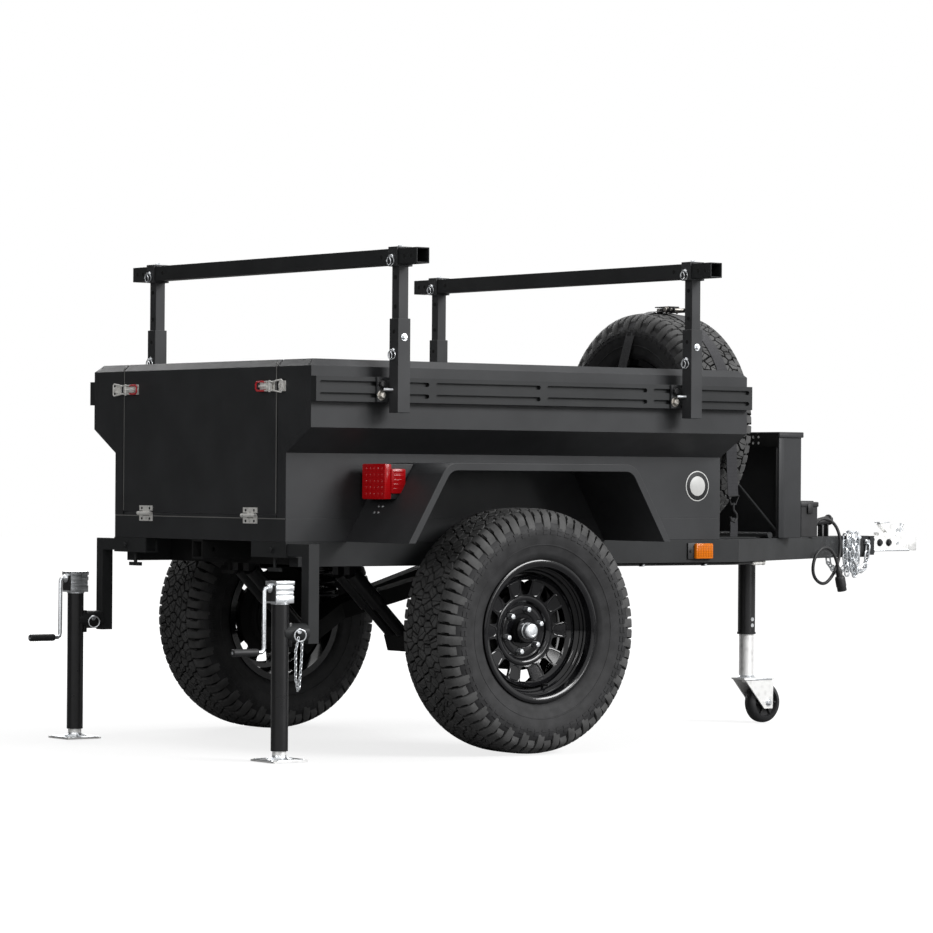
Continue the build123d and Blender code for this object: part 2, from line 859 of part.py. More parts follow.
with BuildPart() as front_jack_tube:
    with BuildSketch(Plane.XY.offset(front_tube_z[0])):
        with Locations((station(front_jack_x), 0)):
            Circle(front_tube_r)
            Circle(front_leg_r + leg_fit, mode=Mode.SUBTRACT)
    extrude(amount=front_tube_z[1] - front_tube_z[0])
    with BuildSketch(Plane.XY.offset(rail_z - 8)):
        with Locations((station(front_jack_x), 0)):
            Circle(front_tube_r + 12)
            Circle(front_tube_r, mode=Mode.SUBTRACT)
    extrude(amount=18)
save(front_jack_tube, "front_jack_tube")

with BuildPart() as front_jack_head:
    block(span(front_jack_x - 34, front_jack_x + 34), (-34, 34), (front_tube_z[1], front_tube_z[1] + 60))
    with BuildSketch(Plane.XY.offset(front_tube_z[1] + 60)):
        with Locations((station(front_jack_x), 0)):
            Circle(9)
    extrude(amount=24)
    block(span(front_jack_x - 9, front_jack_x + 130), (-9, 9), (front_tube_z[1] + 84, front_tube_z[1] + 94))
    with BuildSketch(Plane.XY.offset(front_tube_z[1] + 94)):
        with Locations((station(front_jack_x + 118), 0)):
            Circle(12)
    extrude(amount=90)
save(front_jack_head, "front_jack_head")

leg_foot = fork_top + 5
fork_seat = fork_top - fork_t
kingpin_head = 10
# Leg from the top down: (foot height, radius, height), ending in the kingpin and its head under the fork
leg_steps = (
    (leg_foot, front_leg_r, 400),
    (fork_seat, kingpin_r, leg_foot - fork_seat),
    (fork_seat - kingpin_head, kingpin_r + 6, kingpin_head),
)
with BuildPart() as front_jack_leg:
    for foot, radius, height in leg_steps:
        with BuildSketch(Plane.XY.offset(foot)):
            with Locations((station(front_jack_x), 0)):
                Circle(radius)
        extrude(amount=height)
save(front_jack_leg, "front_jack_leg")

fork_gap = caster_w / 2 + 5
wheel_x = front_jack_x + caster_trail
caster_pin_r = 7
with BuildPart() as caster_fork:
    block(
        span(front_jack_x - 40, wheel_x + 24), (-fork_gap - fork_t, fork_gap + fork_t), (fork_top - fork_t, fork_top)
    )
    with BuildSketch(Plane.XY.offset(fork_top)):
        with Locations((station(front_jack_x), 0)):
            Circle(front_leg_r - 3)
    extrude(amount=leg_foot - fork_top)
    with BuildSketch(Plane.XY.offset(fork_seat)):
        with Locations((station(front_jack_x), 0)):
            Circle(kingpin_r + kingpin_fit)
    extrude(amount=leg_foot - fork_seat, mode=Mode.SUBTRACT)
    for side, _ in sides:
        with BuildSketch(Plane.XZ.offset(-on_side(side, fork_gap, fork_gap + fork_t)[1])):
            with BuildLine():
                Polyline(
                    (station(front_jack_x - 40), fork_top),
                    (station(wheel_x + 24), fork_top),
                    (station(wheel_x + 20), caster_r - 22),
                    (station(wheel_x - 20), caster_r - 22),
                    close=True,
                )
            make_face()
        extrude(amount=fork_t)
    with BuildSketch(Plane.XZ.offset(-fork_gap - fork_t)):
        with Locations((station(wheel_x), caster_r)):
            Circle(caster_pin_r)
    extrude(amount=2 * (fork_gap + fork_t))
save(caster_fork, "caster_fork")

with BuildPart() as caster_wheel:
    with BuildSketch(Plane.XZ.offset(-caster_w / 2)):
        with Locations((station(wheel_x), caster_r)):
            Circle(caster_r)
            Circle(caster_pin_r + spindle_fit, mode=Mode.SUBTRACT)
    extrude(amount=caster_w)
save(caster_wheel, "caster_wheel")

# Spare wheel deck with two saddles, and the strap over the tread
with BuildPart() as spare_deck:
    half = arm_outer(deck_x[1])
    block(span(*deck_x), (-half, half), (frame_top, frame_top + deck_t))
    for x in (spare_x - 62, spare_x + 38):
        block(span(x, x + 24), (-210, 210), (frame_top + deck_t, frame_top + deck_t + 46))
    with BuildSketch(Plane.YZ.offset(station(spare_x - tyre_half))):
        with Locations((0, spare_z)):
            Circle(tyre_r + tyre_skin)
    extrude(amount=2 * tyre_half, mode=Mode.SUBTRACT)
save(spare_deck, "spare_deck")

strap_in = tyre_r + tyre_skin
strap_out = strap_in + strap_t
strap_foot_z = frame_top + deck_t
with BuildPart() as spare_strap:
    with BuildSketch(Plane.YZ.offset(station(spare_x - strap_w / 2))):
        with Locations((0, spare_z)):
            Circle(strap_out)
            Circle(strap_in, mode=Mode.SUBTRACT)
            Rectangle(2 * strap_out + 2, strap_out + 2, align=(Align.CENTER, Align.MAX), mode=Mode.SUBTRACT)
        for side, _ in sides:
            with BuildLine():
                Polyline(
                    (side * strap_in, spare_z),
                    (side * strap_out, spare_z),
                    (side * (strap_out + 16), strap_foot_z),
                    (side * (strap_in + 16), strap_foot_z),
                    close=True,
                )
            make_face()
    extrude(amount=strap_w)
    block(span(spare_x - 32, spare_x + 32), (-120, -10), (spare_z + strap_in, spare_z + strap_in + 22))
save(spare_strap, "spare_strap")

# Front locker open to the rear, and the battery box on the right arm
sheet_t = 4
with BuildPart() as front_locker:
    block(span(*locker_x), (-locker_half, locker_half), locker_z)
    block(
        span(locker_x[0], locker_x[1] - sheet_t),
        (-locker_half + sheet_t, locker_half - sheet_t),
        (locker_z[0] + sheet_t, locker_z[1] - sheet_t),
        mode=Mode.SUBTRACT,
    )
save(front_locker, "front_locker")

with BuildPart() as locker_bar:
    bar_x = locker_x[0] - 67
    bar_r = 11
    with BuildSketch(Plane.XZ.offset(-arm_outer(bar_x))):
        with Locations((station(bar_x), frame_top + bar_r)):
            Circle(bar_r)
    extrude(amount=2 * arm_outer(bar_x))
save(locker_bar, "locker_bar")

with BuildPart() as battery_box:
    battery_x = front_jack_x + 132
    battery_y = 56 - arm_outer(battery_x)
    block(span(battery_x - 40, battery_x + 40), (battery_y - 60, battery_y + 60), (frame_top, frame_top + 125))
save(battery_box, "battery_box")

# Coupler with a ball socket, its latch, and the chains below the tongue
ball_r = 25.6
ball_x = nose_reach - nose_r
ball_depth = 22
coupler_z = (frame_top - 57, frame_top)
with BuildPart() as coupler:
    block(span(plate_end, ball_x), (-tongue_half, tongue_half), coupler_z)
    with BuildSketch(Plane.XY.offset(coupler_z[0])):
        with Locations((station(ball_x), 0)):
            Circle(nose_r)
    extrude(amount=coupler_z[1] - coupler_z[0])
    hollow = tongue_half - 5
    block(span(plate_end, ball_x - 60), (-hollow, hollow), (coupler_z[0], coupler_z[1] - 6), Mode.SUBTRACT)
    with BuildSketch(Plane.XY.offset(coupler_z[0])):
        with Locations((station(ball_x), 0)):
            Circle(ball_r)
    extrude(amount=ball_depth, mode=Mode.SUBTRACT)
    with Locations((station(ball_x), 0, coupler_z[0] + ball_depth)):
        Sphere(ball_r, mode=Mode.SUBTRACT)
save(coupler, "coupler")

with BuildPart() as coupler_latch:
    block(span(plate_end + 54, plate_end + 179), (-14, 14), (frame_top, frame_top + 12))
    # Lever outline: (distance ahead of the plate, height above the frame)
    lever = ((99, 12), (159, 12), (167, 34), (71, 50), (65, 42))
    with BuildSketch(Plane.XZ.offset(-12)):
        with BuildLine():
            Polyline(*[(station(plate_end + x), frame_top + z) for x, z in lever], close=True)
        make_face()
    extrude(amount=24)
save(coupler_latch, "coupler_latch")

chain_wire = 8
chain_bend = 22
link_l = 42
link_w = 26
link_count = 10
link_bite = 0.5
link_pitch = link_l - 2 * chain_wire + link_bite
chain_y = tongue_half + link_w / 2 + 1
# Chain route: (distance ahead of the tongue's end, height above the rail's foot)
chain_route = ((-132, 56), (-122, -30), (-74, -62), (-26, -30), (-16, 56))
with BuildPart() as safety_chains:
    for side, _ in sides:
        y = side * chain_y
        with BuildLine() as path:
            FilletPolyline(*[(station(tongue_end + x), y, rail_z + z) for x, z in chain_route], radius=chain_bend)
        line = path.wire()
        for link in range(link_count):
            along = (link_pitch * link + link_l / 2) / line.length
            flat_to = Vector(0, 1, 0) if link % 2 else (line % along).cross(Vector(0, 1, 0))
            with BuildSketch(Plane(origin=line @ along, x_dir=line % along, z_dir=flat_to)):
                Rectangle(link_l, link_w)
                Rectangle(link_l - 2 * chain_wire, link_w - 2 * chain_wire, mode=Mode.SUBTRACT)
            extrude(amount=chain_wire / 2, both=True)
        for x, _ in (chain_route[0], chain_route[-1]):
            eye = span(tongue_end + x - 10, tongue_end + x + 10)
            block(eye, on_side(side, tongue_half, chain_y + chain_wire / 2), (rail_z + 48, rail_z + 66))
save(safety_chains, "safety_chains")

# Brake cables clipped under the rails and along the tongue arms
cable_r = 5
cable_bend = 90
cable_start = pivot_x + 50
cable_end = arm_start + 255
with BuildPart() as brake_cables:
    for side, _ in sides:
        z = rail_z - cable_r
        inset = rail_w / 2
        with BuildLine() as path:
            FilletPolyline(
                (station(cable_start), side * (lower_half - inset), z),
                (station(arm_start), side * (lower_half - inset), z),
                (station(cable_end), side * (arm_outer(cable_end) - inset), z),
                radius=cable_bend,
            )
        with BuildSketch(Plane(origin=path.line @ 0, z_dir=path.line % 0)):
            Circle(cable_r)
        sweep()
save(brake_cables, "brake_cables")

# Loose harness from the tongue's right arm to its plug
harness_r = 6
harness_x = front_jack_x + 200
harness_y = 16 - arm_outer(harness_x)
# Route as offsets from the hole in the arm's top face
harness_route = (
    (0, 0, 0),
    (0, 0, 32),
    (36, -5, 72),
    (92, -15, 56),
    (114, -28, 0),
    (106, -34, -70),
    (70, -42, -138),
    (8, -52, -182),
    (-60, -64, -145),
    (-54, -66, -72),
    (0, -66, -30),
    (56, -66, -66),
    (70, -66, -124),
)
harness_points = [(station(harness_x) + x, harness_y + y, frame_top + z) for x, y, z in harness_route]


def bend_radii(points):
    """Largest tangent radius at each bend, keeping 45 % of the shorter run."""
    radii = []
    for before, here, after in zip(points, points[1:], points[2:]):
        into = Vector(*here) - Vector(*before)
        away = Vector(*after) - Vector(*here)
        turn = into.get_angle(away)
        radii.append(0.45 * min(into.length, away.length) / tan(radians(turn) / 2))
    return radii


harness_radii = bend_radii(harness_points)
with BuildPart() as harness_cable:
    with BuildLine() as path:
        FilletPolyline(*harness_points, radius=harness_radii)
    with BuildSketch(Plane(origin=path.line @ 0, z_dir=path.line % 0)):
        Circle(harness_r)
    sweep()
save(harness_cable, "harness_cable")

plug_r = 16.5
plug_l = 78
with BuildPart() as harness_plug:
    with BuildSketch(Plane(origin=path.line @ 1, z_dir=path.line % 1)):
        Circle(plug_r)
    extrude(amount=plug_l)
save(harness_plug, "harness_plug")
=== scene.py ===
import json
from math import cos, pi, radians, sin

import bmesh
import bpy
from bpy.props import FloatProperty, FloatVectorProperty, IntProperty, PointerProperty
from mathutils import Matrix, Vector


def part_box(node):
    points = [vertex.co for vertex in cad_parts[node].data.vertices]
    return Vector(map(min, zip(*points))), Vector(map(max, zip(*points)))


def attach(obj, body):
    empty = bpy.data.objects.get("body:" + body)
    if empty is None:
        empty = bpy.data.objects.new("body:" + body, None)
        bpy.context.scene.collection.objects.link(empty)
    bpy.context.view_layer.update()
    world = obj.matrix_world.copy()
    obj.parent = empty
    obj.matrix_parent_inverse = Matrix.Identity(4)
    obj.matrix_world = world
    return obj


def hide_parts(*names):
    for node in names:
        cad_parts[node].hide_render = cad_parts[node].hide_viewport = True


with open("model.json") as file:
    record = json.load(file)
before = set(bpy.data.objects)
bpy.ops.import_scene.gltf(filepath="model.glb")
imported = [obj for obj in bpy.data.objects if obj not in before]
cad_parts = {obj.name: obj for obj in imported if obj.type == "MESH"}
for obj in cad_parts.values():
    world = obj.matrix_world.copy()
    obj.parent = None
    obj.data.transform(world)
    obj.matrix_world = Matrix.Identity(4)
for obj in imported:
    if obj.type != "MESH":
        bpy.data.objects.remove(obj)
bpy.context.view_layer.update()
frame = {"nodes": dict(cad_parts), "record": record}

bl_info = {
    "name": "Off-road trailer dressing",
    "version": (1, 0, 0),
    "blender": (4, 5, 0),
    "location": "3D View > Sidebar > Trailer",
    "description": "Finishes, tyres and small hardware of the off-road trailer",
    "category": "Object",
}

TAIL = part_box("bed_floor")[0].x
# Shapes are drawn in millimetres, with X measured forward from the body's rear face
ROW = Matrix.Translation((TAIL, 0, 0)) @ Matrix.Diagonal((0.001, 0.001, 0.001, 1))

# Places shared with the part, in the same millimetres
TYRE_R = 401.5
AXLE_X = 779
WHEEL_Y = 733.6
SPARE_X = 1982
SPARE_Z = 1097.5
LOWER_HALF = 514
FRAME_TOP = 690
FRAME_FOOT = 610
ARM_START = 1925
ARM_SLOPE = 454 / 881
HINGE_Y = 314
LATCH_Z = 1190
SPRING_X = 800
SPRING_Y = 425
RACK_X = (297, 1529)
POST_Y = 720
BAR_Z = 1606
JACK_X = -90
JACK_Y = 619
FRONT_JACK_X = 2420
TUBE_REACH = 151.3
TONGUE_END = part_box("tongue_arms")[1].x * 1000 - TAIL * 1000 + TUBE_REACH
PLATE_END = TONGUE_END + 21
SIDES = (1, -1)
UP = (0, 0, 1)
AHEAD = (1, 0, 0)
BACK = (-1, 0, 0)


def arm_face(x):
    """Distance of a tongue arm's outer face from the centre plane."""
    return LOWER_HALF - ARM_SLOPE * (x - ARM_START)


# Harness route, offsets in millimetres from the hole in the right arm's top face
HARNESS_X = FRONT_JACK_X + 200
HARNESS_Y = 16 - arm_face(HARNESS_X)
HARNESS_ROUTE = (
    (0, 0, 0), (0, 0, 32), (36, -5, 72), (92, -15, 56), (114, -28, 0), (106, -34, -70), (70, -42, -138),
    (8, -52, -182), (-60, -64, -145), (-54, -66, -72), (0, -66, -30), (56, -66, -66), (70, -66, -124),
)


def colour(name, about, default):
    return FloatVectorProperty(
        name=name, description=about, subtype="COLOR", size=3, min=0, max=1, default=default
    )


def length(name, about, default):
    return FloatProperty(name=name, description=about, unit="LENGTH", min=0, default=default)


class TrailerFinishes(bpy.types.PropertyGroup):
    """Colours of the trailer's finishes."""

    body: colour("Body coat", "Textured powder coat on the panels", (0.0316, 0.0326, 0.0344))
    # Painted shade: the underside colour is darker than the frame coat for the parts beneath the body; the
    # matt finish is the coat's own
    under: colour("Shaded coat", "Matt coat on axle, arms and cross members", (0.016, 0.016, 0.016))
    frame: colour("Frame coat", "Powder coat on rails and brackets", (0.026, 0.027, 0.028))
    rubber: colour("Tyre rubber", "Tread and sidewall", (0.024, 0.024, 0.025))
    # Painted light: the tread faces are lighter than the sidewall rubber to make up for the light they lack
    tread: colour("Tread blocks", "Scuffed faces of the tread blocks", (0.064, 0.064, 0.064))
    # Painted shade: the groove colour is near-black rubber standing in for the shade in tread grooves, pin
    # holes and the gaps beside the tailgate
    groove: colour("Tread grooves", "Dark floor between the tread blocks", (0.008, 0.008, 0.008))
    rim: colour("Wheel gloss", "Gloss black on the steel wheels", (0.006, 0.006, 0.007))
    zinc: colour("Zinc plate", "Plated jacks, pins and chains", (0.66, 0.68, 0.70))
    bright: colour("Bright zinc", "Pale plating of the coupler and jack legs", (0.84, 0.84, 0.83))
    plate: colour("Dull zinc", "Hinges and tailgate latches", (0.80, 0.79, 0.76))
    rack: colour("Rack coat", "Powder coat on the rack's posts", (0.041, 0.042, 0.044))
    tube: colour("Jack enamel", "Half-gloss enamel on the jack tubes", (0.013, 0.013, 0.014))
    # Painted highlight: the edge colour is a light grey standing in for the light caught by the tailgate's
    # edges
    edge: colour("Highlight edge", "Highlighted edges of the tailgate opening", (0.17, 0.17, 0.165))
    stainless: colour("Stainless", "Ratchet, plug pins and rack bolts", (0.40, 0.38, 0.35))
    red: colour("Red lens", "Tail lamp lens", (0.36, 0.003, 0.005))
    amber: colour("Amber lens", "Side marker lens", (0.62, 0.15, 0.003))
    lever: colour("Latch lever", "Red sleeve on the latch's safety lever", (0.60, 0.02, 0.03))
    plastic: colour("Black plastic", "Grips, plug and battery box", (0.016, 0.016, 0.017))
    webbing: colour("Strap webbing", "Woven strap over the spare", (0.020, 0.020, 0.022))
    disc: colour("Blank disc", "Plain disc on the body side", (0.58, 0.58, 0.57))


class TrailerDetails(bpy.types.PropertyGroup):
    """Sizes of the trailer's hardware."""

    pitches: IntProperty(
        name="Tread pitches", description="Repeats of the tread round a tyre", min=20, max=60, default=34
    )
    tread_depth: length("Tread depth", "Height of the tread blocks", 0.0115)
    lug_circle: length("Lug circle", "Diameter of the wheel nut circle", 0.1397)
    chain_wire: length("Chain wire", "Wire of the safety chain links", 0.007)
    chain_pitch: length("Chain pitch", "Distance between chain links", 0.0265)
    spring_wire: length("Spring wire", "Wire of the coil springs", 0.014)
    disc: length("Disc", "Diameter of the blank disc on the side", 0.105)
    edge: length("Edge", "Rounding of panel and tube edges", 0.0016)


class TrailerStage(bpy.types.PropertyGroup):
    """Floor and light of the studio."""

    floor: length("Floor", "Radius of the floor", 40.0)
    key: FloatProperty(name="Key light", description="Power of the key light", unit="POWER", default=1000)
    fill: FloatProperty(name="Sky level", description="Strength of the even light", min=0, default=0.22)


def finishes():
    return bpy.context.scene.trailer_finishes


def details():
    return bpy.context.scene.trailer_details


class Tree:
    """Node tree of a material or a world."""

    def __init__(self, owner):
        owner.use_nodes = True
        self.nodes = owner.node_tree.nodes
        self.links = owner.node_tree.links

    def feed(self, node, values):
        """Set a node's inputs, or join them where the value is another node's output."""
        for name, value in values.items():
            if isinstance(value, bpy.types.NodeSocket):
                self.links.new(value, node.inputs[name])
            else:
                node.inputs[name].default_value = value

    def add(self, kind, values=None, **settings):
        """Outputs of a new node with the given inputs and settings."""
        node = self.nodes.new(f"ShaderNode{kind}")
        for name, value in settings.items():
            setattr(node, name, value)
        self.feed(node, values or {})
        return node.outputs

    def combine(self, how, first, second):
        return self.add("Math", {0: first, 1: second}, operation=how)["Value"]


class Surface(Tree):
    """Material under construction: one principled shader and the patterns that feed it."""

    def __init__(self, name, rough, metallic=0.0, specular=0.5):
        self.material = bpy.data.materials.new(name)
        super().__init__(self.material)
        self.shader = self.nodes["Principled BSDF"]
        self.feed(self.shader, {"Metallic": metallic, "Specular IOR Level": specular, "Roughness": rough})
        self.place = self.add("TexCoord")["Object"]

    def noise(self, size_mm, detail=3, stretch=(1, 1, 1)):
        spot = self.add("Mapping", {"Scale": stretch, "Vector": self.place})["Vector"]
        return self.add("TexNoise", {"Scale": 1000 / size_mm, "Detail": detail, "Vector": spot})["Fac"]

    def cells(self, size_mm):
        return self.add("TexVoronoi", {"Scale": 1000 / size_mm, "Vector": self.place})["Distance"]

    def bands(self, size_mm, direction):
        values = {"Scale": 2 * pi * 1000 / size_mm / 20, "Vector": self.place}
        return self.add("TexWave", values, bands_direction=direction)["Fac"]

    def tint(self, pattern, dark, light, low=0.35, high=0.65):
        """Base colour running from dark to light over the pattern."""
        ramp = self.nodes.new("ShaderNodeValToRGB")
        for stop, position, tone in zip(ramp.color_ramp.elements, (low, high), (dark, light)):
            stop.position = position
            stop.color = (*tone, 1)
        self.feed(ramp, {"Fac": pattern})
        self.feed(self.shader, {"Base Color": ramp.outputs["Color"]})

    def gloss(self, pattern, low, high):
        """Roughness running from low to high over the pattern."""
        rough = self.add("MapRange", {"Value": pattern, "To Min": low, "To Max": high})
        self.feed(self.shader, {"Roughness": rough["Result"]})

    def relief(self, pattern, strength, depth_mm):
        """Bumps that follow the pattern."""
        bump = self.add("Bump", {"Strength": strength, "Distance": depth_mm / 1000, "Height": pattern})
        self.feed(self.shader, {"Normal": bump["Normal"]})


def shade(colour, factor):
    return tuple(min(1, part * factor) for part in colour)


def coated(name, colour, rough, specular, grain_mm=1.6, strength=0.35):
    """Powder coat: fine grain, a faint drift of tone and patches of gloss."""
    coat = Surface(name, rough, specular=specular)
    coat.tint(coat.noise(190, 4), shade(colour, 0.86), shade(colour, 1.14))
    coat.gloss(coat.noise(60, 5), rough - 0.08, rough + 0.08)
    coat.relief(coat.noise(grain_mm, 2), strength, 0.12)
    return coat.material


def plated(name, colour, rough, spangle_mm, metallic=0.9, dark=0.62):
    """Plated metal with a spangled tone and drawn streaks."""
    plate = Surface(name, rough, metallic=metallic)
    spangle = plate.combine("ADD", plate.cells(spangle_mm), plate.noise(14, 4, (1, 1, 0.2)))
    plate.tint(spangle, shade(colour, dark), shade(colour, 1.1), 0.35, 1.1)
    plate.gloss(plate.noise(9, 5), rough - 0.1, rough + 0.14)
    plate.relief(plate.noise(2.2, 3, (1, 1, 0.3)), 0.18, 0.1)
    return plate.material


def rubbery(name, colour, rough):
    """Tyre rubber: bloom in patches and mould grain."""
    rubber = Surface(name, rough, specular=0.22)
    rubber.tint(rubber.noise(45, 5), shade(colour, 0.8), shade(colour, 1.3))
    rubber.gloss(rubber.noise(25, 4), rough - 0.12, rough + 0.1)
    rubber.relief(rubber.noise(2.4, 4), 0.35, 0.25)
    return rubber.material


def lens(name, colour):
    """Moulded lamp lens with a prism grid behind a clear skin."""
    glass = Surface(name, 0.2, specular=0.2)
    prisms = glass.combine("MULTIPLY", glass.bands(6, "Y"), glass.bands(6, "Z"))
    glass.tint(prisms, shade(colour, 0.55), colour, 0.05, 0.8)
    glass.gloss(glass.noise(20, 3), 0.10, 0.22)
    glass.relief(prisms, 0.25, 0.5)
    glow = {"Emission Color": (*colour, 1), "Emission Strength": 0.3}
    glass.feed(glass.shader, {"Coat Weight": 0.12, "Coat Roughness": 0.06} | glow)
    return glass.material


def moulded(name, colour, rough):
    """Moulded plastic with a fine pebble grain."""
    plastic = Surface(name, rough, specular=0.35)
    plastic.tint(plastic.noise(40, 4), shade(colour, 0.8), shade(colour, 1.25))
    plastic.gloss(plastic.noise(12, 4), rough - 0.08, rough + 0.1)
    plastic.relief(plastic.cells(1.4), 0.2, 0.12)
    return plastic.material


def woven(name, colour):
    """Strap webbing with a herringbone rib."""
    cloth = Surface(name, 0.82, specular=0.2)
    rib = cloth.combine("ADD", cloth.bands(2.6, "DIAGONAL"), cloth.bands(5, "Z"))
    cloth.tint(rib, shade(colour, 0.6), shade(colour, 1.7), 0.4, 1.5)
    cloth.gloss(cloth.noise(8, 4), 0.72, 0.95)
    cloth.relief(rib, 0.5, 0.4)
    cloth.feed(cloth.shader, {"Sheen Weight": 0.25})
    return cloth.material


def glossy_wheel(name, colour):
    """Gloss black enamel with a slight orange peel."""
    enamel = Surface(name, 0.1, specular=0.36)
    enamel.tint(enamel.noise(120, 4), shade(colour, 0.8), shade(colour, 1.3))
    enamel.gloss(enamel.noise(30, 5), 0.07, 0.16)
    enamel.relief(enamel.noise(7, 2), 0.08, 0.2)
    enamel.feed(enamel.shader, {"Coat Weight": 0.1, "Coat Roughness": 0.08})
    return enamel.material


# How each finish is made from its colour: maker, then the maker's values
RECIPES = {
    "body": (coated, 0.46, 0.2),
    "frame": (coated, 0.46, 0.16),
    # Painted shade: darker colour beneath the body
    "under": (coated, 0.8, 0.06),
    "rack": (coated, 0.46, 0.16),
    "tube": (coated, 0.30, 0.4, 2.5, 0.12),
    # Painted highlight on the tailgate's edges
    "edge": (coated, 0.5, 0.3),
    "disc": (coated, 0.4, 0.4, 3.0, 0.1),
    "rubber": (rubbery, 0.66),
    # Painted light on the tread faces
    "tread": (rubbery, 0.72),
    # Painted shade in the grooves, pin holes and gaps
    "groove": (rubbery, 0.9),
    "rim": (glossy_wheel,),
    "zinc": (plated, 0.30, 9),
    "bright": (plated, 0.38, 22, 0.5, 0.84),
    "plate": (plated, 0.42, 12, 0.25),
    "stainless": (plated, 0.34, 30),
    "red": (lens,),
    "amber": (lens,),
    "lever": (moulded, 0.35),
    "plastic": (moulded, 0.5),
    "webbing": (woven,),
}


def finish(name):
    """Material of that finish, made the first time it is asked for."""
    label = f"trailer_{name}"
    if label in bpy.data.materials:
        return bpy.data.materials[label]
    make, *values = RECIPES[name]
    return make(label, getattr(finishes(), name), *values)


def facing(origin, direction, roll=0.0):
    """Placement that turns a shape drawn along +Z to point along direction from origin."""
    turn = Vector(direction).normalized().to_track_quat("Z", "Y").to_matrix().to_4x4()
    return Matrix.Translation(origin) @ turn @ Matrix.Rotation(roll, 4, "Z")


def span(side, near, far):
    """Range of Y between two distances from the centre plane, on the given side."""
    return sorted((side * near, side * far))


def peg(radius, high, low=0):
    """Profile of a plain cylinder, as (height, radius) pairs."""
    return [(low, 0), (low, radius), (high, radius), (high, 0)]


def circle(steps):
    return [2 * pi * step / steps for step in range(steps)]


def ring_pairs(rings, loop):
    """Neighbouring rings, with the last joined to the first where they loop."""
    return list(zip(rings, rings[1:])) + ([(rings[-1], rings[0])] if loop else [])


def bridge(part, low, high):
    """Faces between two closed rings of the same count."""
    for index in range(len(low)):
        after = (index + 1) % len(low)
        part.faces.new((low[index], low[after], high[after], high[index]))


def soften(part, round_mm, segments):
    """Round every edge of a small mesh."""
    bmesh.ops.bevel(
        part, geom=part.edges[:], offset=round_mm, segments=segments, profile=0.5, affect="EDGES"
    )


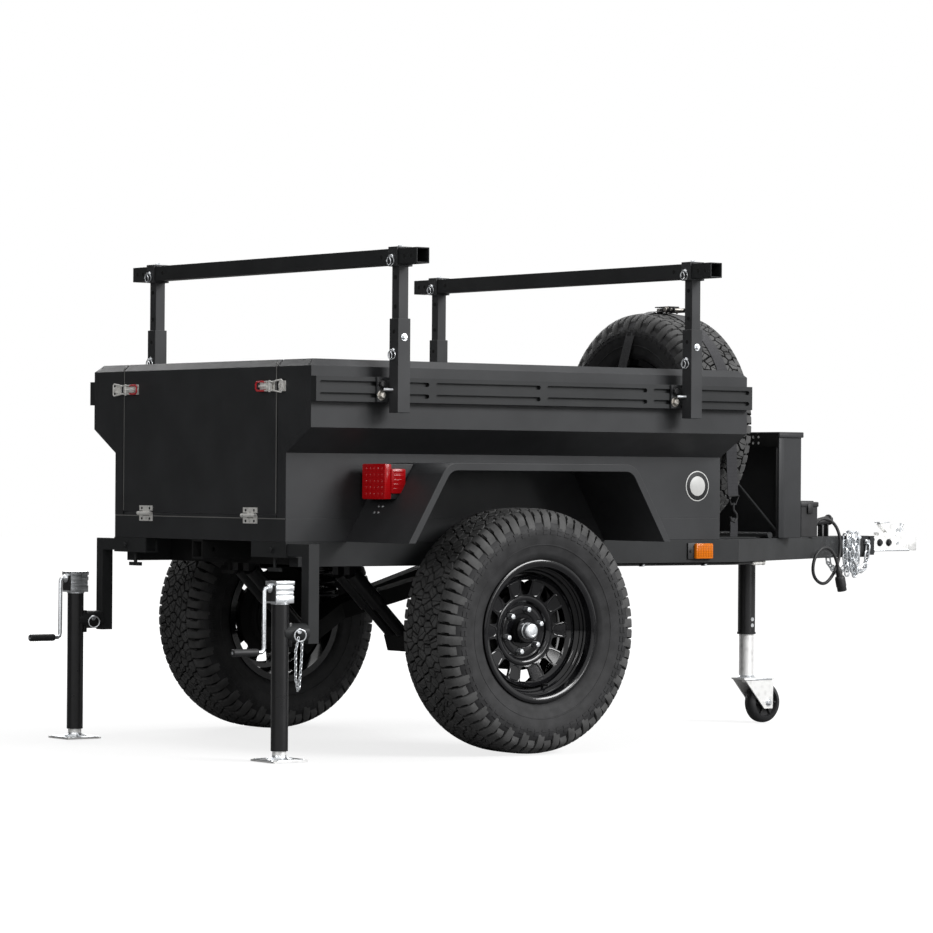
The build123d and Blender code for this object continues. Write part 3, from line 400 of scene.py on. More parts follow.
class Shape:
    """One piece's mesh, gathered from boxes, turned forms, plates and bent rod."""

    def __init__(self):
        self.bm = bmesh.new()
        self.finishes = []

    def take(self, part, finish_name, place=None):
        """Join a small mesh into this one in the given finish."""
        if finish_name not in self.finishes:
            self.finishes.append(finish_name)
        if place is not None:
            part.transform(place)
        bmesh.ops.recalc_face_normals(part, faces=part.faces)
        for face in part.faces:
            face.material_index = self.finishes.index(finish_name)
        mesh = bpy.data.meshes.new("part")
        part.to_mesh(mesh)
        part.free()
        self.bm.from_mesh(mesh)
        bpy.data.meshes.remove(mesh)

    def box(self, x, y, z, finish_name, round_mm=1.0, place=None):
        part = bmesh.new()
        size = [high - low for low, high in (x, y, z)]
        middle = [(high + low) / 2 for low, high in (x, y, z)]
        block = Matrix.Translation(middle) @ Matrix.Diagonal((*size, 1))
        bmesh.ops.create_cube(part, size=1, matrix=block)
        soften(part, min(round_mm, 0.45 * min(abs(edge) for edge in size)), 2)
        self.take(part, finish_name, place)

    def turned(self, profile, finish_name, place=None, steps=24, loop=False):
        """Profile of (height, radius) pairs turned about +Z; loop closes it on itself."""
        part = bmesh.new()
        rings = []
        for height, radius in profile:
            if radius <= 0:
                rings.append([part.verts.new((0, 0, height))])
                continue
            spots = [(radius * cos(a), radius * sin(a), height) for a in circle(steps)]
            rings.append([part.verts.new(spot) for spot in spots])
        for low, high in ring_pairs(rings, loop):
            for step in range(steps):
                after = (step + 1) % steps
                corners = [low[step % len(low)], low[after % len(low)]]
                corners += [high[after % len(high)], high[step % len(high)]]
                part.faces.new(list(dict.fromkeys(corners)))
        if not loop:
            for ring in (rings[0], rings[-1]):
                if len(ring) > 1:
                    part.faces.new(ring)
        self.take(part, finish_name, place)

    def rod(self, points, radius, finish_name, sides=10, loop=False, place=None):
        """Round rod bent along points; loop joins its end to its start."""
        part = bmesh.new()
        points = [Vector(point) for point in points]
        count = len(points)
        rings = []
        across = None
        for index, point in enumerate(points):
            before = points[index - 1] if index or loop else point
            after = points[(index + 1) % count] if index + 1 < count or loop else point
            along = (after - before).normalized()
            if across is None:
                across = along.orthogonal().normalized()
            across = (across - along * across.dot(along)).normalized()
            beside = along.cross(across)
            spots = [point + radius * (across * cos(a) + beside * sin(a)) for a in circle(sides)]
            rings.append([part.verts.new(spot) for spot in spots])
        for low, high in ring_pairs(rings, loop):
            bridge(part, low, high)
        if not loop:
            part.faces.new(rings[0])
            part.faces.new(rings[-1])
        self.take(part, finish_name, place)

    def plate(self, outline, thick, finish_name, place, round_mm=0.6):
        """Flat outline in its own XY plane, raised by thick along +Z."""
        part = bmesh.new()
        base = part.faces.new([part.verts.new((x, y, 0)) for x, y in outline])
        raised = bmesh.ops.extrude_face_region(part, geom=[base])
        top = [item for item in raised["geom"] if isinstance(item, bmesh.types.BMVert)]
        bmesh.ops.translate(part, vec=(0, 0, thick), verts=top)
        soften(part, round_mm, 1)
        self.take(part, finish_name, place)

    def bolt(self, centre, direction, finish_name, size):
        """Hexagon head on a washer, standing on the surface at centre; size is across the flats."""
        place = facing(centre, direction, 0.3)
        self.turned(peg(size * 0.82, 1.6), finish_name, place, 20)
        corner = size / 2 / cos(pi / 6)
        head = [(1.6, corner), (size * 0.5, corner), (size * 0.62, size * 0.44), (size * 0.62, 0)]
        self.turned(head, finish_name, place, 6)

    def ring(self, centre, direction, radius, wire, finish_name, steps=24):
        points = [(radius * cos(a), radius * sin(a), 0) for a in circle(steps)]
        self.rod(points, wire, finish_name, 8, True, place=facing(centre, direction))

    def link(self, middle, along, flat_to, wire, pitch, finish_name):
        """Oval chain link whose bows lie half a pitch either side of the middle."""
        along = Vector(along).normalized()
        side = Vector(flat_to)
        side = (side - along * side.dot(along)).normalized()
        half = pitch / 2 - wire * 0.2
        bow = wire * 1.15
        points = []
        for a in circle(14):
            stretch = half * (1 if cos(a) > 0 else -1) if abs(cos(a)) > 0.1 else 0
            reach = along * (stretch + bow * cos(a))
            points.append(Vector(middle) + reach + side * bow * 1.25 * sin(a))
        self.rod(points, wire / 2, finish_name, 8, True)

    def chain(self, points, wire, pitch, finish_name, side=(0, 1, 0)):
        """Links end to end along a bent line, each turned a quarter from the last."""
        points = [Vector(point) for point in points]
        walked = 0
        due = pitch / 2
        turn = 0
        for start, end in zip(points, points[1:]):
            run = (end - start).length
            along = (end - start).normalized()
            while due <= walked + run:
                flat_to = Vector(side) if turn % 2 else along.cross(Vector(side))
                self.link(start + along * (due - walked), along, flat_to, wire, pitch, finish_name)
                due += pitch
                turn += 1
            walked += run

    def mesh(self, name, place):
        mesh = bpy.data.meshes.new(name)
        self.bm.transform(place)
        self.bm.to_mesh(mesh)
        self.bm.free()
        for finish_name in self.finishes:
            mesh.materials.append(finish(finish_name))
        mesh.polygons.foreach_set("use_smooth", [True] * len(mesh.polygons))
        mesh.set_sharp_from_angle(angle=radians(32))
        return mesh

    def done(self, name, body, slot, *replaced):
        """Put the piece in the scene, riding on its body."""
        return settle(name, self.mesh(name, ROW), body, slot, *replaced)


def settle(name, mesh, body, slot, *replaced, place=None):
    """Object of that mesh on its body, in place of the replaced nodes. The slot argument is not used."""
    piece = bpy.data.objects.new(name, mesh)
    bpy.context.scene.collection.objects.link(piece)
    if place is not None:
        piece.matrix_world = place
    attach(piece, body)
    if replaced:
        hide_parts(*replaced)
    return piece


def softened(points, cut):
    """Bent line with each corner rounded from cut millimetres before it to the same after."""
    points = [Vector(point) for point in points]
    bent = [points[0]]
    for before, here, after in zip(points, points[1:], points[2:]):
        start = here + (before - here).normalized() * cut
        end = here + (after - here).normalized() * cut
        for step in range(7):
            share = step / 6
            bent.append((1 - share) ** 2 * start + 2 * share * (1 - share) * here + share**2 * end)
    return [*bent, points[-1]]


# Finish of each carried-over node by its slot in the record, then the nodes that differ
SLOT_FINISH = {
    "chassis": "frame", "body": "body", "rack": "frame", "tyre": "rubber", "rim": "rim", "zinc": "zinc",
    "steel": "stainless", "spring": "rim", "red_lens": "red", "amber_lens": "amber", "plastic": "plastic",
    "webbing": "webbing", "cable": "plastic",
}
# Nodes beneath the body, given the darker underside colour as painted shade
SHADED_UNDER = ("hub_left", "hub_right", "trailing_arms", "crossmembers", "axle_spindles", "receiver_tube")
BRIGHT = (
    "coupler", "coupler_latch", "front_jack_leg", "caster_fork", "rear_jack_leg_left", "rear_jack_leg_right",
)
NODE_FINISH = dict.fromkeys(SHADED_UNDER, "under") | dict.fromkeys(BRIGHT, "bright") | {
    "rack_uprights": "rack", "rack_sleeves": "rack", "rear_jack_tubes": "tube", "front_jack_tube": "tube",
    "shock_absorbers": "tube", "hinge_sill_leaves": "plate", "tailgate_hinge_leaves": "plate",
}
# Nodes whose edges are softened
ROUNDED = (
    "frame_rails", "tongue_arms", "crossmembers", "tongue_tube", "bed_floor", "side_wall_left",
    "side_wall_right", "front_wall", "rear_corners", "tailgate_panel", "fender_left", "fender_right",
    "tail_lamp_housings", "track_rails", "rack_sleeves", "rack_uprights", "rack_bars", "receiver_tube",
    "jack_sleeves", "jack_arms", "trailing_arms", "jack_crossplate", "spare_deck", "front_locker",
    "battery_box", "coupler", "caster_fork",
)


class TRAILER_OT_paint(bpy.types.Operator):
    """Give every carried-over part its finish, and soften the edges of the nodes listed in ROUNDED"""

    bl_idname = "trailer.paint"
    bl_label = "Paint the frame and panels"

    def execute(self, context):
        slots = {row["node"]: row["material_slot"] for row in frame["record"]["subparts"]}
        for node, part in frame["nodes"].items():
            material = finish(NODE_FINISH.get(node) or SLOT_FINISH[slots[node]])
            part.data.materials.clear()
            part.data.materials.append(material)
            if node in ROUNDED:
                weld = part.modifiers.new("Join seams", "WELD")
                weld.merge_threshold = 0.00002
                bevel = part.modifiers.new("Soft edges", "BEVEL")
                bevel.width = details().edge
                bevel.segments = 2
                bevel.limit_method = "ANGLE"
                bevel.angle_limit = radians(28)
                bevel.harden_normals = True
        return {"FINISHED"}


# Tread surface of the tyre: (distance from the centre plane, radius)
CROWN = (
    (0, 401.4), (40, 401.2), (70, 400), (86, 398), (100, 394.5), (112, 387), (122, 376.5), (130, 361),
    (134.5, 343),
)
# Sidewall and groove floor from the bead to the centre plane: (distance from the centre plane, radius)
CARCASS = (
    (105, 219.5), (106.5, 232), (112, 239), (117, 243), (119.5, 250), (121, 252), (122, 258), (128.5, 280),
    (130, 281), (130.6, 284), (129.8, 285), (133, 300), (135.2, 318), (135.2, 330), (133, 340), (129, 349),
    (122, 359), (113, 368), (103, 376), (92, 382.5), (60, 388), (0, 389.5),
)
# Columns of tread blocks: (distance from the centre plane, share of a block's length they are shifted by)
TREAD_COLUMNS = ((-64, 0.1), (-32, 0.55), (0, 0.05), (32, 0.5), (64, 0.95))
SHOULDER = 99
GROOVE = 6.8
SIPE = 2.0
# Widest patch a tread cell is cut from, and how far off a neighbour still shapes it
CELL_REACH = 60
CELL_NEAR = 100
# Shoulder lugs of one pitch: (middle as a share of the pitch, half width, reach over the shoulder)
LUGS = ((0.25, 0.205, 134.4), (0.75, 0.195, 129))
LUG_STATIONS = (82, 92, 99, 101, 108, 114, 119, 121, 125, 130, 134.4)
LUG_EDGE = 1.2
# Bars on the sidewall: (inner radius, outer radius, half width in degrees)
SIDEWALL_RIBS = ((330, 340, 1.9), (317, 326, 2.0))
# Radius from which the carcass is groove floor, in a colour darker than the rubber: painted shade between
# the blocks
GROOVE_R = 368


def crown(axial):
    """Tread radius at a distance from the tyre's centre plane."""
    axial = abs(axial)
    for (a, r), (b, s) in zip(CROWN, CROWN[1:]):
        if axial <= b:
            return r + (s - r) * (axial - a) / (b - a)
    return CROWN[-1][1]


def on_tyre(degrees, axial, radius):
    """Point at an angle about +Z, a distance along it and a radius."""
    a = radians(degrees)
    return radius * cos(a), radius * sin(a), axial


def on_wheel(degrees, radius, outward):
    return Vector(on_tyre(degrees, outward, radius))


def trimmed(corners, site, towards, limit):
    """Corners of the part of a patch that lies no further than limit from site along towards."""
    kept = []
    for here, after in zip(corners, corners[1:] + corners[:1]):
        near, far = (here - site).dot(towards) - limit, (after - site).dot(towards) - limit
        if near <= 0:
            kept.append(here)
        if near * far < 0:
            kept.append(here.lerp(after, near / (near - far)))
    return kept


def tread_cell(site, others, half):
    """Corners of the patch nearer to site than to the others, drawn in by half a groove."""
    corners = [site + Vector(corner) * CELL_REACH for corner in ((-1, -1), (1, -1), (1, 1), (-1, 1))]
    for other in others:
        away = other - site
        corners = trimmed(corners, site, away.normalized(), away.length / 2 - half)
    return corners


def tread_cells(count):
    """Corners of the irregular blocks, as (length round the tread, distance from the centre plane)."""
    block = 2 * pi * TYRE_R / count
    sites = []
    for turn in range(-2, count + 2):
        step = turn % count
        for column, (axial, shift) in enumerate(TREAD_COLUMNS):
            along = turn + shift + 0.24 * sin(2.3 * step + 1.9 * column)
            sites.append(Vector((block * along, axial + 8 * sin(1.7 * step + 2.9 * column))))
        for side in SIDES:
            sites.append(Vector((block * (turn + 0.5), side * SHOULDER)))
    for site in sites:
        if abs(site.y) < SHOULDER and 0 <= site.x < block * count:
            near = [other for other in sites if 0 < (other - site).length < CELL_NEAR]
            whole = tread_cell(site, near, GROOVE / 2)
            lean = 0.9 * sin(2.1 * site.x + 0.3 * site.y)
            slit = Vector((cos(lean), sin(lean)))
            for way in SIDES:
                yield trimmed(whole, site, way * slit, -SIPE / 2)


def tread_block(part, corners, depth):
    """Closed block over corners given as (length round the tread, distance from the centre plane)."""
    middle = Vector([sum(values) / len(corners) for values in zip(*corners)])
    rings = []
    for shrink, sink in ((1.06, depth), (1.0, 0.9), (0.95, 0)):
        spots = [middle + (corner - middle) * shrink for corner in corners]
        spots = [on_tyre(x / radians(TYRE_R), y, crown(y) - sink) for x, y in spots]
        rings.append([part.verts.new(spot) for spot in spots])
    for low, high in zip(rings, rings[1:]):
        bridge(part, low, high)
    part.faces.new(rings[-1])


def shoulder_lug(part, degrees, side, half_deg, reach, depth):
    """Stepped lug that wraps from the tread over the shoulder and down the sidewall."""
    stations = [axial for axial in LUG_STATIONS if axial <= reach]
    rows = []
    for axial in stations:
        narrow = half_deg * (0.72 if 100 < axial < 120 else 1.0)
        lean = side * half_deg * 0.5 * (axial - 82) / 52
        top = crown(axial) - (LUG_EDGE if axial in (stations[0], stations[-1]) else 0)
        base = top - depth - 3
        ends = ((-half_deg * 1.05, base), (-half_deg, top - LUG_EDGE), (-half_deg * 0.9, top))
        ends += ((narrow * 0.9, top), (narrow, top - LUG_EDGE), (narrow * 1.05, base))
        spots = [on_tyre(degrees + lean + offset, side * axial, radius) for offset, radius in ends]
        rows.append([part.verts.new(spot) for spot in spots])
    for low, high in zip(rows, rows[1:]):
        for index in range(5):
            part.faces.new((low[index], low[index + 1], high[index + 1], high[index]))
    part.faces.new(rows[0])
    part.faces.new(rows[-1])


def sidewall_rib(part, degrees, side, inner, outer, half_deg):
    """Low raised bar on the sidewall between two radii."""
    low, high = [], []
    ends = ((inner, -half_deg), (inner, half_deg), (outer, half_deg), (outer, -half_deg))
    for radius, offset in ends:
        wall = 135.2 if radius < 332 else 133.2
        low.append(part.verts.new(on_tyre(degrees + offset, side * (wall - 1), radius)))
        high.append(part.verts.new(on_tyre(degrees + offset * 0.8, side * (wall + 1.6), radius)))
    part.faces.new(high)
    bridge(part, low, high)


def tyre_mesh():
    """All-terrain tyre about +Z, its outer face towards +Z."""
    tyre = Shape()
    depth = details().tread_depth * 1000
    profile = [*CARCASS, *((-axial, radius) for axial, radius in CARCASS[-2::-1])]
    tyre.turned(profile, "rubber", steps=120, loop=True)
    # Groove floor in the near-black groove colour: painted shade between the blocks
    tyre.finishes.append("groove")
    for face in tyre.bm.faces:
        if face.calc_center_median().xy.length > GROOVE_R:
            face.material_index = 1
    blocks = bmesh.new()
    count = details().pitches
    pitch = 360 / count
    for corners in tread_cells(2 * count):
        tread_block(blocks, corners, depth)
    for repeat in range(count):
        for side in SIDES:
            for middle, half, reach in LUGS:
                shoulder_lug(blocks, pitch * (repeat + middle), side, pitch * half, reach, depth)
    # Tread blocks in the lighter tread colour: painted light
    tyre.take(blocks, "tread")
    ribs = bmesh.new()
    for rib in range(2 * count):
        for side in SIDES:
            for radius, reach, half in SIDEWALL_RIBS:
                sidewall_rib(ribs, 180 / count * rib, side, radius, reach, half)
    tyre.take(ribs, "rubber")
    return tyre.mesh("all_terrain_tyre", Matrix.Diagonal((0.001, 0.001, 0.001, 1)))


# Wheels: (name, body, middle, direction of the outer face)
WHEELS = (
    ("left", "wheel_left", (AXLE_X, WHEEL_Y, TYRE_R), (0, 1, 0)),
    ("right", "wheel_right", (AXLE_X, -WHEEL_Y, TYRE_R), (0, -1, 0)),
    ("spare", "trailer", (SPARE_X, 0, SPARE_Z), AHEAD),
)
# Rolled lips of a wheel, each a closed loop of (distance outward, radius):
# nut pad, bowl, disc corner, three steps of the barrel, flange
WHEEL_RINGS = (
    ((15, 84), (18, 82), (18.5, 78), (18.5, 60), (17.5, 56), (15, 54)),
    ((17, 90), (22, 92), (27, 96), (30, 101), (31, 107), (30, 113), (27, 115), (22, 104)),
    ((37, 166), (40, 170), (45, 175.5), (51, 179.5), (57, 182), (52, 185), (37, 174)),
    ((48, 189.5), (53, 190), (57, 194), (60, 200), (52, 196)),
    ((64, 200), (69, 200), (72, 203), (75, 208.5), (68, 206)),
    ((78, 206), (84, 205), (88, 208), (90, 212), (82, 211)),
    (
        (106, 211), (113, 212), (116.5, 217), (118, 224), (118, 230), (116.5, 233.2), (114, 233.4),
        (114, 214),
    ),
)
# Turned forms on a wheel: (height, radius)
NUT = ((0, 11.5), (4, 10.5), (14, 10.5), (18, 8), (19, 0))
NUT_SEAT = ((-0.5, 16), (0.8, 15), (0.8, 11))
HUB = ((34, 41), (44, 41), (47, 38), (47, 30), (47, 0))
HUB_CAP = ((46, 27), (49, 27.5), (51, 25.5), (66, 25), (70, 22), (71.5, 17), (71, 16), (72.5, 0))
SPARE_BORE = ((15, 46), (18, 46), (18, 43), (15, 43))
VALVE = ((0, 8), (6, 7), (10, 4.5), (30, 4.2), (31, 3), (40, 3), (40, 0))
NUTS = 6
WINDOWS = 10
# Wheel window: middle's radius, corners as (outward, across), and how far each corner is rounded
WINDOW_R = 145
WINDOW = ((27, -27), (27, 27), (-27, 14), (-27, -14))
WINDOW_CUT = (21, 21, 13.5, 13.5)
WEB_EDGE = 3
WEB_RISE = 0.3
LIP_SUNK = 2.2
# The disc's outer face at the windows
DISC_HEIGHT = 34.5
DISC_SLOPE = 8 / 46


def window_lip(wheel, turn, place):
    """Round off one wheel window: a web in each corner and a rolled lip along the rounded line."""
    swing = Matrix.Rotation(turn, 3, "Z")

    def on_disc(point, sunk):
        height = DISC_HEIGHT + DISC_SLOPE * (point.x - WINDOW_R) - sunk
        return swing @ Vector((point.x, point.y, height))

    corners = [Vector((WINDOW_R + out, side)) for out, side in WINDOW]
    webs = bmesh.new()
    line = []
    for index, (corner, cut) in enumerate(zip(corners, WINDOW_CUT)):
        bend = softened([corners[index - 1], corner, corners[(index + 1) % 4]], cut)[1:-1]
        away = corner + (corner - (bend[0] + bend[-1]) / 2).normalized() * WEB_EDGE
        webs.faces.new([webs.verts.new(on_disc(point, -WEB_RISE)) for point in (away, *bend)])
        line += [on_disc(point, LIP_SUNK) for point in bend]
    wheel.take(webs, "rim", place)
    wheel.rod(line, 4, "rim", 10, True, place=place)


class TRAILER_OT_tyres(bpy.types.Operator):
    """Build the all-terrain tyres with tread blocks, shoulder lugs and ribbed sidewalls"""

    bl_idname = "trailer.tyres"
    bl_label = "Tyres"

    def execute(self, context):
        mesh = tyre_mesh()
        for name, body, centre, outward in WHEELS:
            place = facing(ROW @ Vector(centre), outward)
            settle(f"tread_{name}", mesh, body, "tyre", f"tyre_{name}", place=place)
        return {"FINISHED"}


class TRAILER_OT_wheel_hardware(bpy.types.Operator):
    """Add wheel nuts, hub caps, valves, rolled lips and rounded windows"""

    bl_idname = "trailer.wheel_hardware"
    bl_label = "Wheel nuts, caps and valves"

    def execute(self, context):
        nut_circle = details().lug_circle * 500
        for name, body, centre, outward in WHEELS:
            place = facing(centre, outward)
            wheel = Shape()
            for nut in range(NUTS):
                seat = facing(place @ on_wheel(360 / NUTS * nut + 18, nut_circle, 18), outward)
                if name != "spare":
                    wheel.turned(NUT, "zinc", seat, 6)
                wheel.turned(NUT_SEAT, "rim", seat, 20, True)
            for ring in WHEEL_RINGS:
                wheel.turned(ring, "rim", place, 96, True)
            for window in range(WINDOWS):
                window_lip(wheel, radians(360 / WINDOWS * window), place)
            if name != "spare":
                wheel.turned(HUB, "rim", place, 36)
                wheel.turned(HUB_CAP, "zinc", place, 36)
            else:
                wheel.turned(SPARE_BORE, "rim", place, 36, True)
            wheel.turned(VALVE, "plastic", facing(place @ on_wheel(-72, 186, 44), outward), 12)
            wheel.done(f"wheel_hardware_{name}", body, "rim")
        return {"FINISHED"}


class TRAILER_OT_brake_plates(bpy.types.Operator):
    """Add the brakes' backing plates with their lower opening"""

    bl_idname = "trailer.brake_plates"
    bl_label = "Brake backing plates"

    def execute(self, context):
        outer, inner, opening, steps = 178, 118, 38, 40
        sweep = 360 - 2 * opening
        turns = [radians(270 + opening + step * sweep / steps) for step in range(steps + 1)]
        outline = [(outer * cos(a), outer * sin(a)) for a in turns]
        outline += [(inner * cos(a), inner * sin(a)) for a in reversed(turns)]
        plates = Shape()
        upright = Matrix.Rotation(radians(90), 4, "X")
        for side in SIDES:
            middle = Matrix.Translation((AXLE_X, side * (WHEEL_Y - 92), TYRE_R))
            # Backing plates in the darker underside colour: painted shade
            plates.plate(outline, 4, "under", middle @ upright, 1)
        plates.done("brake_plates", "trailer", "chassis")
        return {"FINISHED"}


# Half widths of the rack's tubes
COLLAR_HALF = 31.5
BAR_HALF = 25.5
SLEEVE_HALF = 24
POST_HALF = 20
# Disc of painted shade standing in for a dark pin hole in a tube's face, and hitch pin: (height, radius)
HOLE_SHADE_DISC = ((-0.4, 0), (-0.4, 7), (0.3, 6.6), (0.3, 0))
HITCH_PIN = ((0, 0), (0, 7), (3, 7), (5, 4), (14, 4), (15, 0))
# Spring clip on a hitch pin, as offsets from the pin's neck
CLIP = ((0, 2, 2), (-3, 9, -6), (-4, 12, -22), (-2, 6, -30), (-1, -3, -24), (-1, -4, -12), (-3, 1, -4))


def rack_pin(shape, x, side, z, out):
    """Hitch pin through the tube from its rear face, with a spring clip hanging on it."""
    y = side * POST_Y
    shape.turned(HITCH_PIN, "zinc", facing((x - out, y, z), BACK), 14)
    shape.ring((x - out - 11, y - 3, z - 15), (1, 0.25, 0), 15, 1.3, "zinc", 18)
    shape.rod([(x - out - 11 + a, y - 3 + b, z + c) for a, b, c in CLIP], 1.3, "zinc", 6)


class TRAILER_OT_rack_hardware(bpy.types.Operator):
    """Add the rack's bolts, studs and hitch pins with clips, and discs of painted shade for the pin holes"""

    bl_idname = "trailer.rack_hardware"
    bl_label = "Rack hardware"

    def execute(self, context):
        rack = Shape()
        for x in RACK_X:
            for side in SIDES:
                y = side * POST_Y
                outward = (0, side, 0)
                rack.bolt((x, y, BAR_Z + COLLAR_HALF), UP, "zinc", 13)
                rack.bolt((x, side * (POST_Y + SLEEVE_HALF), 1348), outward, "zinc", 15)
                for z, plating in ((1162, "stainless"), (1198, "tube")):
                    rack.bolt((x - 48, side * 688, z), outward, plating, 20)
                stud = facing((x - 50, side * 702, 1180), (1, side * 0.45, 0))
                rack.turned(peg(5, 34), "zinc", stud, 14)
                rack_pin(rack, x, side, BAR_Z, COLLAR_HALF)
                rack_pin(rack, x, side, 1306, SLEEVE_HALF)
                for z, half in ((1366, SLEEVE_HALF), (1446, POST_HALF), (1540, POST_HALF)):
                    # Pin holes as discs of painted shade
                    rack.turned(HOLE_SHADE_DISC, "groove", facing((x - half, y, z), BACK), 16)
                for reach in (650, 776, 812):
                    for way in SIDES:
                        rim = facing((x + way * BAR_HALF, side * reach, BAR_Z), (way, 0, 0))
                        # Pin holes in the bars as discs of painted shade
                        rack.turned(HOLE_SHADE_DISC, "groove", rim, 16)
        rack.done("rack_hardware", "trailer", "rack")
        return {"FINISHED"}


# Wires of a toggle latch: (X, distance from the centre plane, height above the latch's middle)
LEVER = (
    (-9, 414, -13), (-12, 392, -15), (-14, 366, -14), (-14, 360, -8), (-14, 360, 8), (-14, 366, 14),
    (-12, 392, 15), (-9, 414, 13),
)
BAIL = (
    (-11, 434, -16), (-12, 452, -13), (-13, 476, -17), (-13, 503, -20), (-13, 509, -16), (-13, 509, 16),
    (-13, 503, 20), (-13, 476, 17), (-12, 452, 13), (-11, 434, 16),
)
HANDLE = ((-9, 372, 0), (-15, 400, 0), (-14, 424, 0))
LATCH_WIRES = ((LEVER, 3.2, "lever"), (BAIL, 2.6, "plate"), (HANDLE, 4, "plate"))
RIVET = ((0, 4), (1.4, 3), (1.6, 0))
KEEPER_HOOK = ((0, -13), (16, -9), (19, -5), (19, 5), (16, 9), (0, 13))
# Turn of a plate drawn in XY so that its X points back and its Y up
ON_EDGE = Matrix(((-1, 0, 0, 0), (0, 0, 1, 0), (0, 1, 0, 0), (0, 0, 0, 1)))


class TRAILER_OT_latches(bpy.types.Operator):
    """Build the tailgate's toggle latches with red safety levers and wire bails"""

    bl_idname = "trailer.latches"
    bl_label = "Toggle latches"

    def execute(self, context):
        z = LATCH_Z
        latch = Shape()
        for side in SIDES:
            latch.box((-3, 0), span(side, 366, 452), (z - 17, z + 17), "plate", 1)
            for edge in (-14, 14):
                latch.box((-15, -2), span(side, 408, 450), (z + edge - 2, z + edge + 2), "plate", 0.8)
            latch.box((-13, -8), span(side, 384, 446), (z - 10, z + 10), "plate", 2)
            latch.turned(peg(4, 19, -19), "plate", facing((-11, side * 434, z), UP), 14)
            latch.turned(peg(3, 17, -17), "plate", facing((-8, side * 414, z), UP), 14)
            for wire, radius, tone in LATCH_WIRES:
                latch.rod([(a, side * b, z + c) for a, b, c in wire], radius, tone, 8)
            for y in (374, 442):
                latch.turned(RIVET, "plate", facing((-3, side * y, z), BACK), 12)
        latch.done("toggle_latches", "tailgate", "zinc", "tailgate_latches")
        keeper = Shape()
        for side in SIDES:
            keeper.box((-3, 0), span(side, 474, 512), (z - 17, z + 17), "plate", 1)
            hook = Matrix.Translation((0, side * 497 - 2, z)) @ ON_EDGE
            keeper.plate(KEEPER_HOOK, 4, "plate", hook)
            for edge in (-11, 11):
                keeper.turned(RIVET, "plate", facing((-3, side * 482, z + edge), BACK), 12)
        keeper.done("latch_keeper_plates", "trailer", "zinc", "latch_keepers")
        return {"FINISHED"}


LAMP_FACE = 272
LAMP_DOME = ((0, 8.5), (1.6, 7.6), (3.2, 4.6), (3.8, 0))


class TRAILER_OT_lamps(bpy.types.Operator):
    """Build the tail lamps with their beads and side windows, and the amber side markers"""

    bl_idname = "trailer.lamps"
    bl_label = "Lamps"

    def execute(self, context):
        lamps = Shape()
        for side in SIDES:
            lamps.box((LAMP_FACE, 300), span(side, 551, 677), (829, 943), "red", 5)
            for row in range(5):
                for column in range(5):
                    spot = (LAMP_FACE, side * (571 + 21.5 * column), 845 + 20.5 * row)
                    lamps.turned(LAMP_DOME, "red", facing(spot, BACK), 14)
            lamps.box((296, 352), span(side, 672, 683), (848, 927), "red", 4)
            for bar in range(5):
                z = 858 + 14 * bar
                lamps.box((303, 345), span(side, 682, 684), (z, z + 7), "red", 0.9)
        lamps.done("tail_lamps", "trailer", "red_lens", "tail_lamp_lenses")
        markers = Shape()
        face = LOWER_HALF
        for side in SIDES:
            markers.box((1688, 1796), span(side, face, face + 6), (622, 679), "plastic", 2)
            markers.box((1716, 1794), span(side, face + 5, face + 18), (624, 677), "amber", 4)
            for rib in range(6):
                x = 1724 + 11.5 * rib
                markers.box((x, x + 5), span(side, face + 17, face + 19), (631, 670), "amber", 0.9)
            markers.bolt((1700, side * (face + 6), 650), (0, side, 0), "plastic", 8)
        markers.done("side_markers", "trailer", "amber_lens", "marker_lamps")
        return {"FINISHED"}


class TRAILER_OT_springs(bpy.types.Operator):
    """Wind the coil springs and add their seats"""

    bl_idname = "trailer.springs"
    bl_label = "Springs"

    def execute(self, context):
        wire = details().spring_wire * 500
        turns, steps, coil, rise = 4.4, 110, 51, 104
        springs = Shape()
        for side in SIDES:
            points = []
            for step in range(steps + 1):
                share = step / steps
                a = 2 * pi * turns * share
                lift = min(1, max(0, (share - 0.1) / 0.8))
                z = 487 + wire * share * 2 + lift * rise
                points.append((SPRING_X + coil * cos(a), side * (SPRING_Y + coil * sin(a)), z))
            springs.rod(points, wire, "rim", 10)
            for low, high in ((480, 486), (604, 610)):
                seat = facing((SPRING_X, side * SPRING_Y, low), UP)
                springs.turned(peg(60, high - low), "frame", seat, 32)
        springs.done("coil_springs_wound", "trailer", "spring", "coil_springs")
        return {"FINISHED"}


# Rear jack crank in its own plane: (X, height)
CRANK_Z = 548
GRIP_Z = 346
CRANK = (
    (-112, CRANK_Z), (-140, CRANK_Z), (-147, 546), (-150, 540), (-151, 360), (-153, 351), (-160, GRIP_Z),
    (-178, GRIP_Z),
)
# Folds of a jack head: (foot, top, how far they stand out)
HEAD_FOLDS = ((500, 523, 2), (529, 534, 1), (540, 553, 2.5), (558, 570, 4))
# Turned forms of a rear jack: (height, radius)
GRIP_END = ((0, 6.5), (3, 6), (4, 4), (4, 0))
CRANK_BOSS = ((0, 15), (5, 15), (7, 12), (14, 9), (14, 0))
HEAD_RING = ((-4, 29.5), (4, 29.5), (4, 27), (-4, 27))
SWIVEL_PIN = ((0, 0), (0, 6.5), (68, 6.5), (72, 9), (76, 9), (77, 0))
FOOT_WELD = ((6, 31), (8, 28), (13, 24), (20, 22.6), (6, 22.6))
# Keeper chains of the right jack's pin: (X, distance out from the jack, height)
PIN_CHAINS = (
    ((-50, 45, 392), (-60, 44, 350), (-59, 43, 262), (-49, 42, 222)),
    ((-36, 45, 380), (-39, 44, 306), (-46, 43, 226)),
)


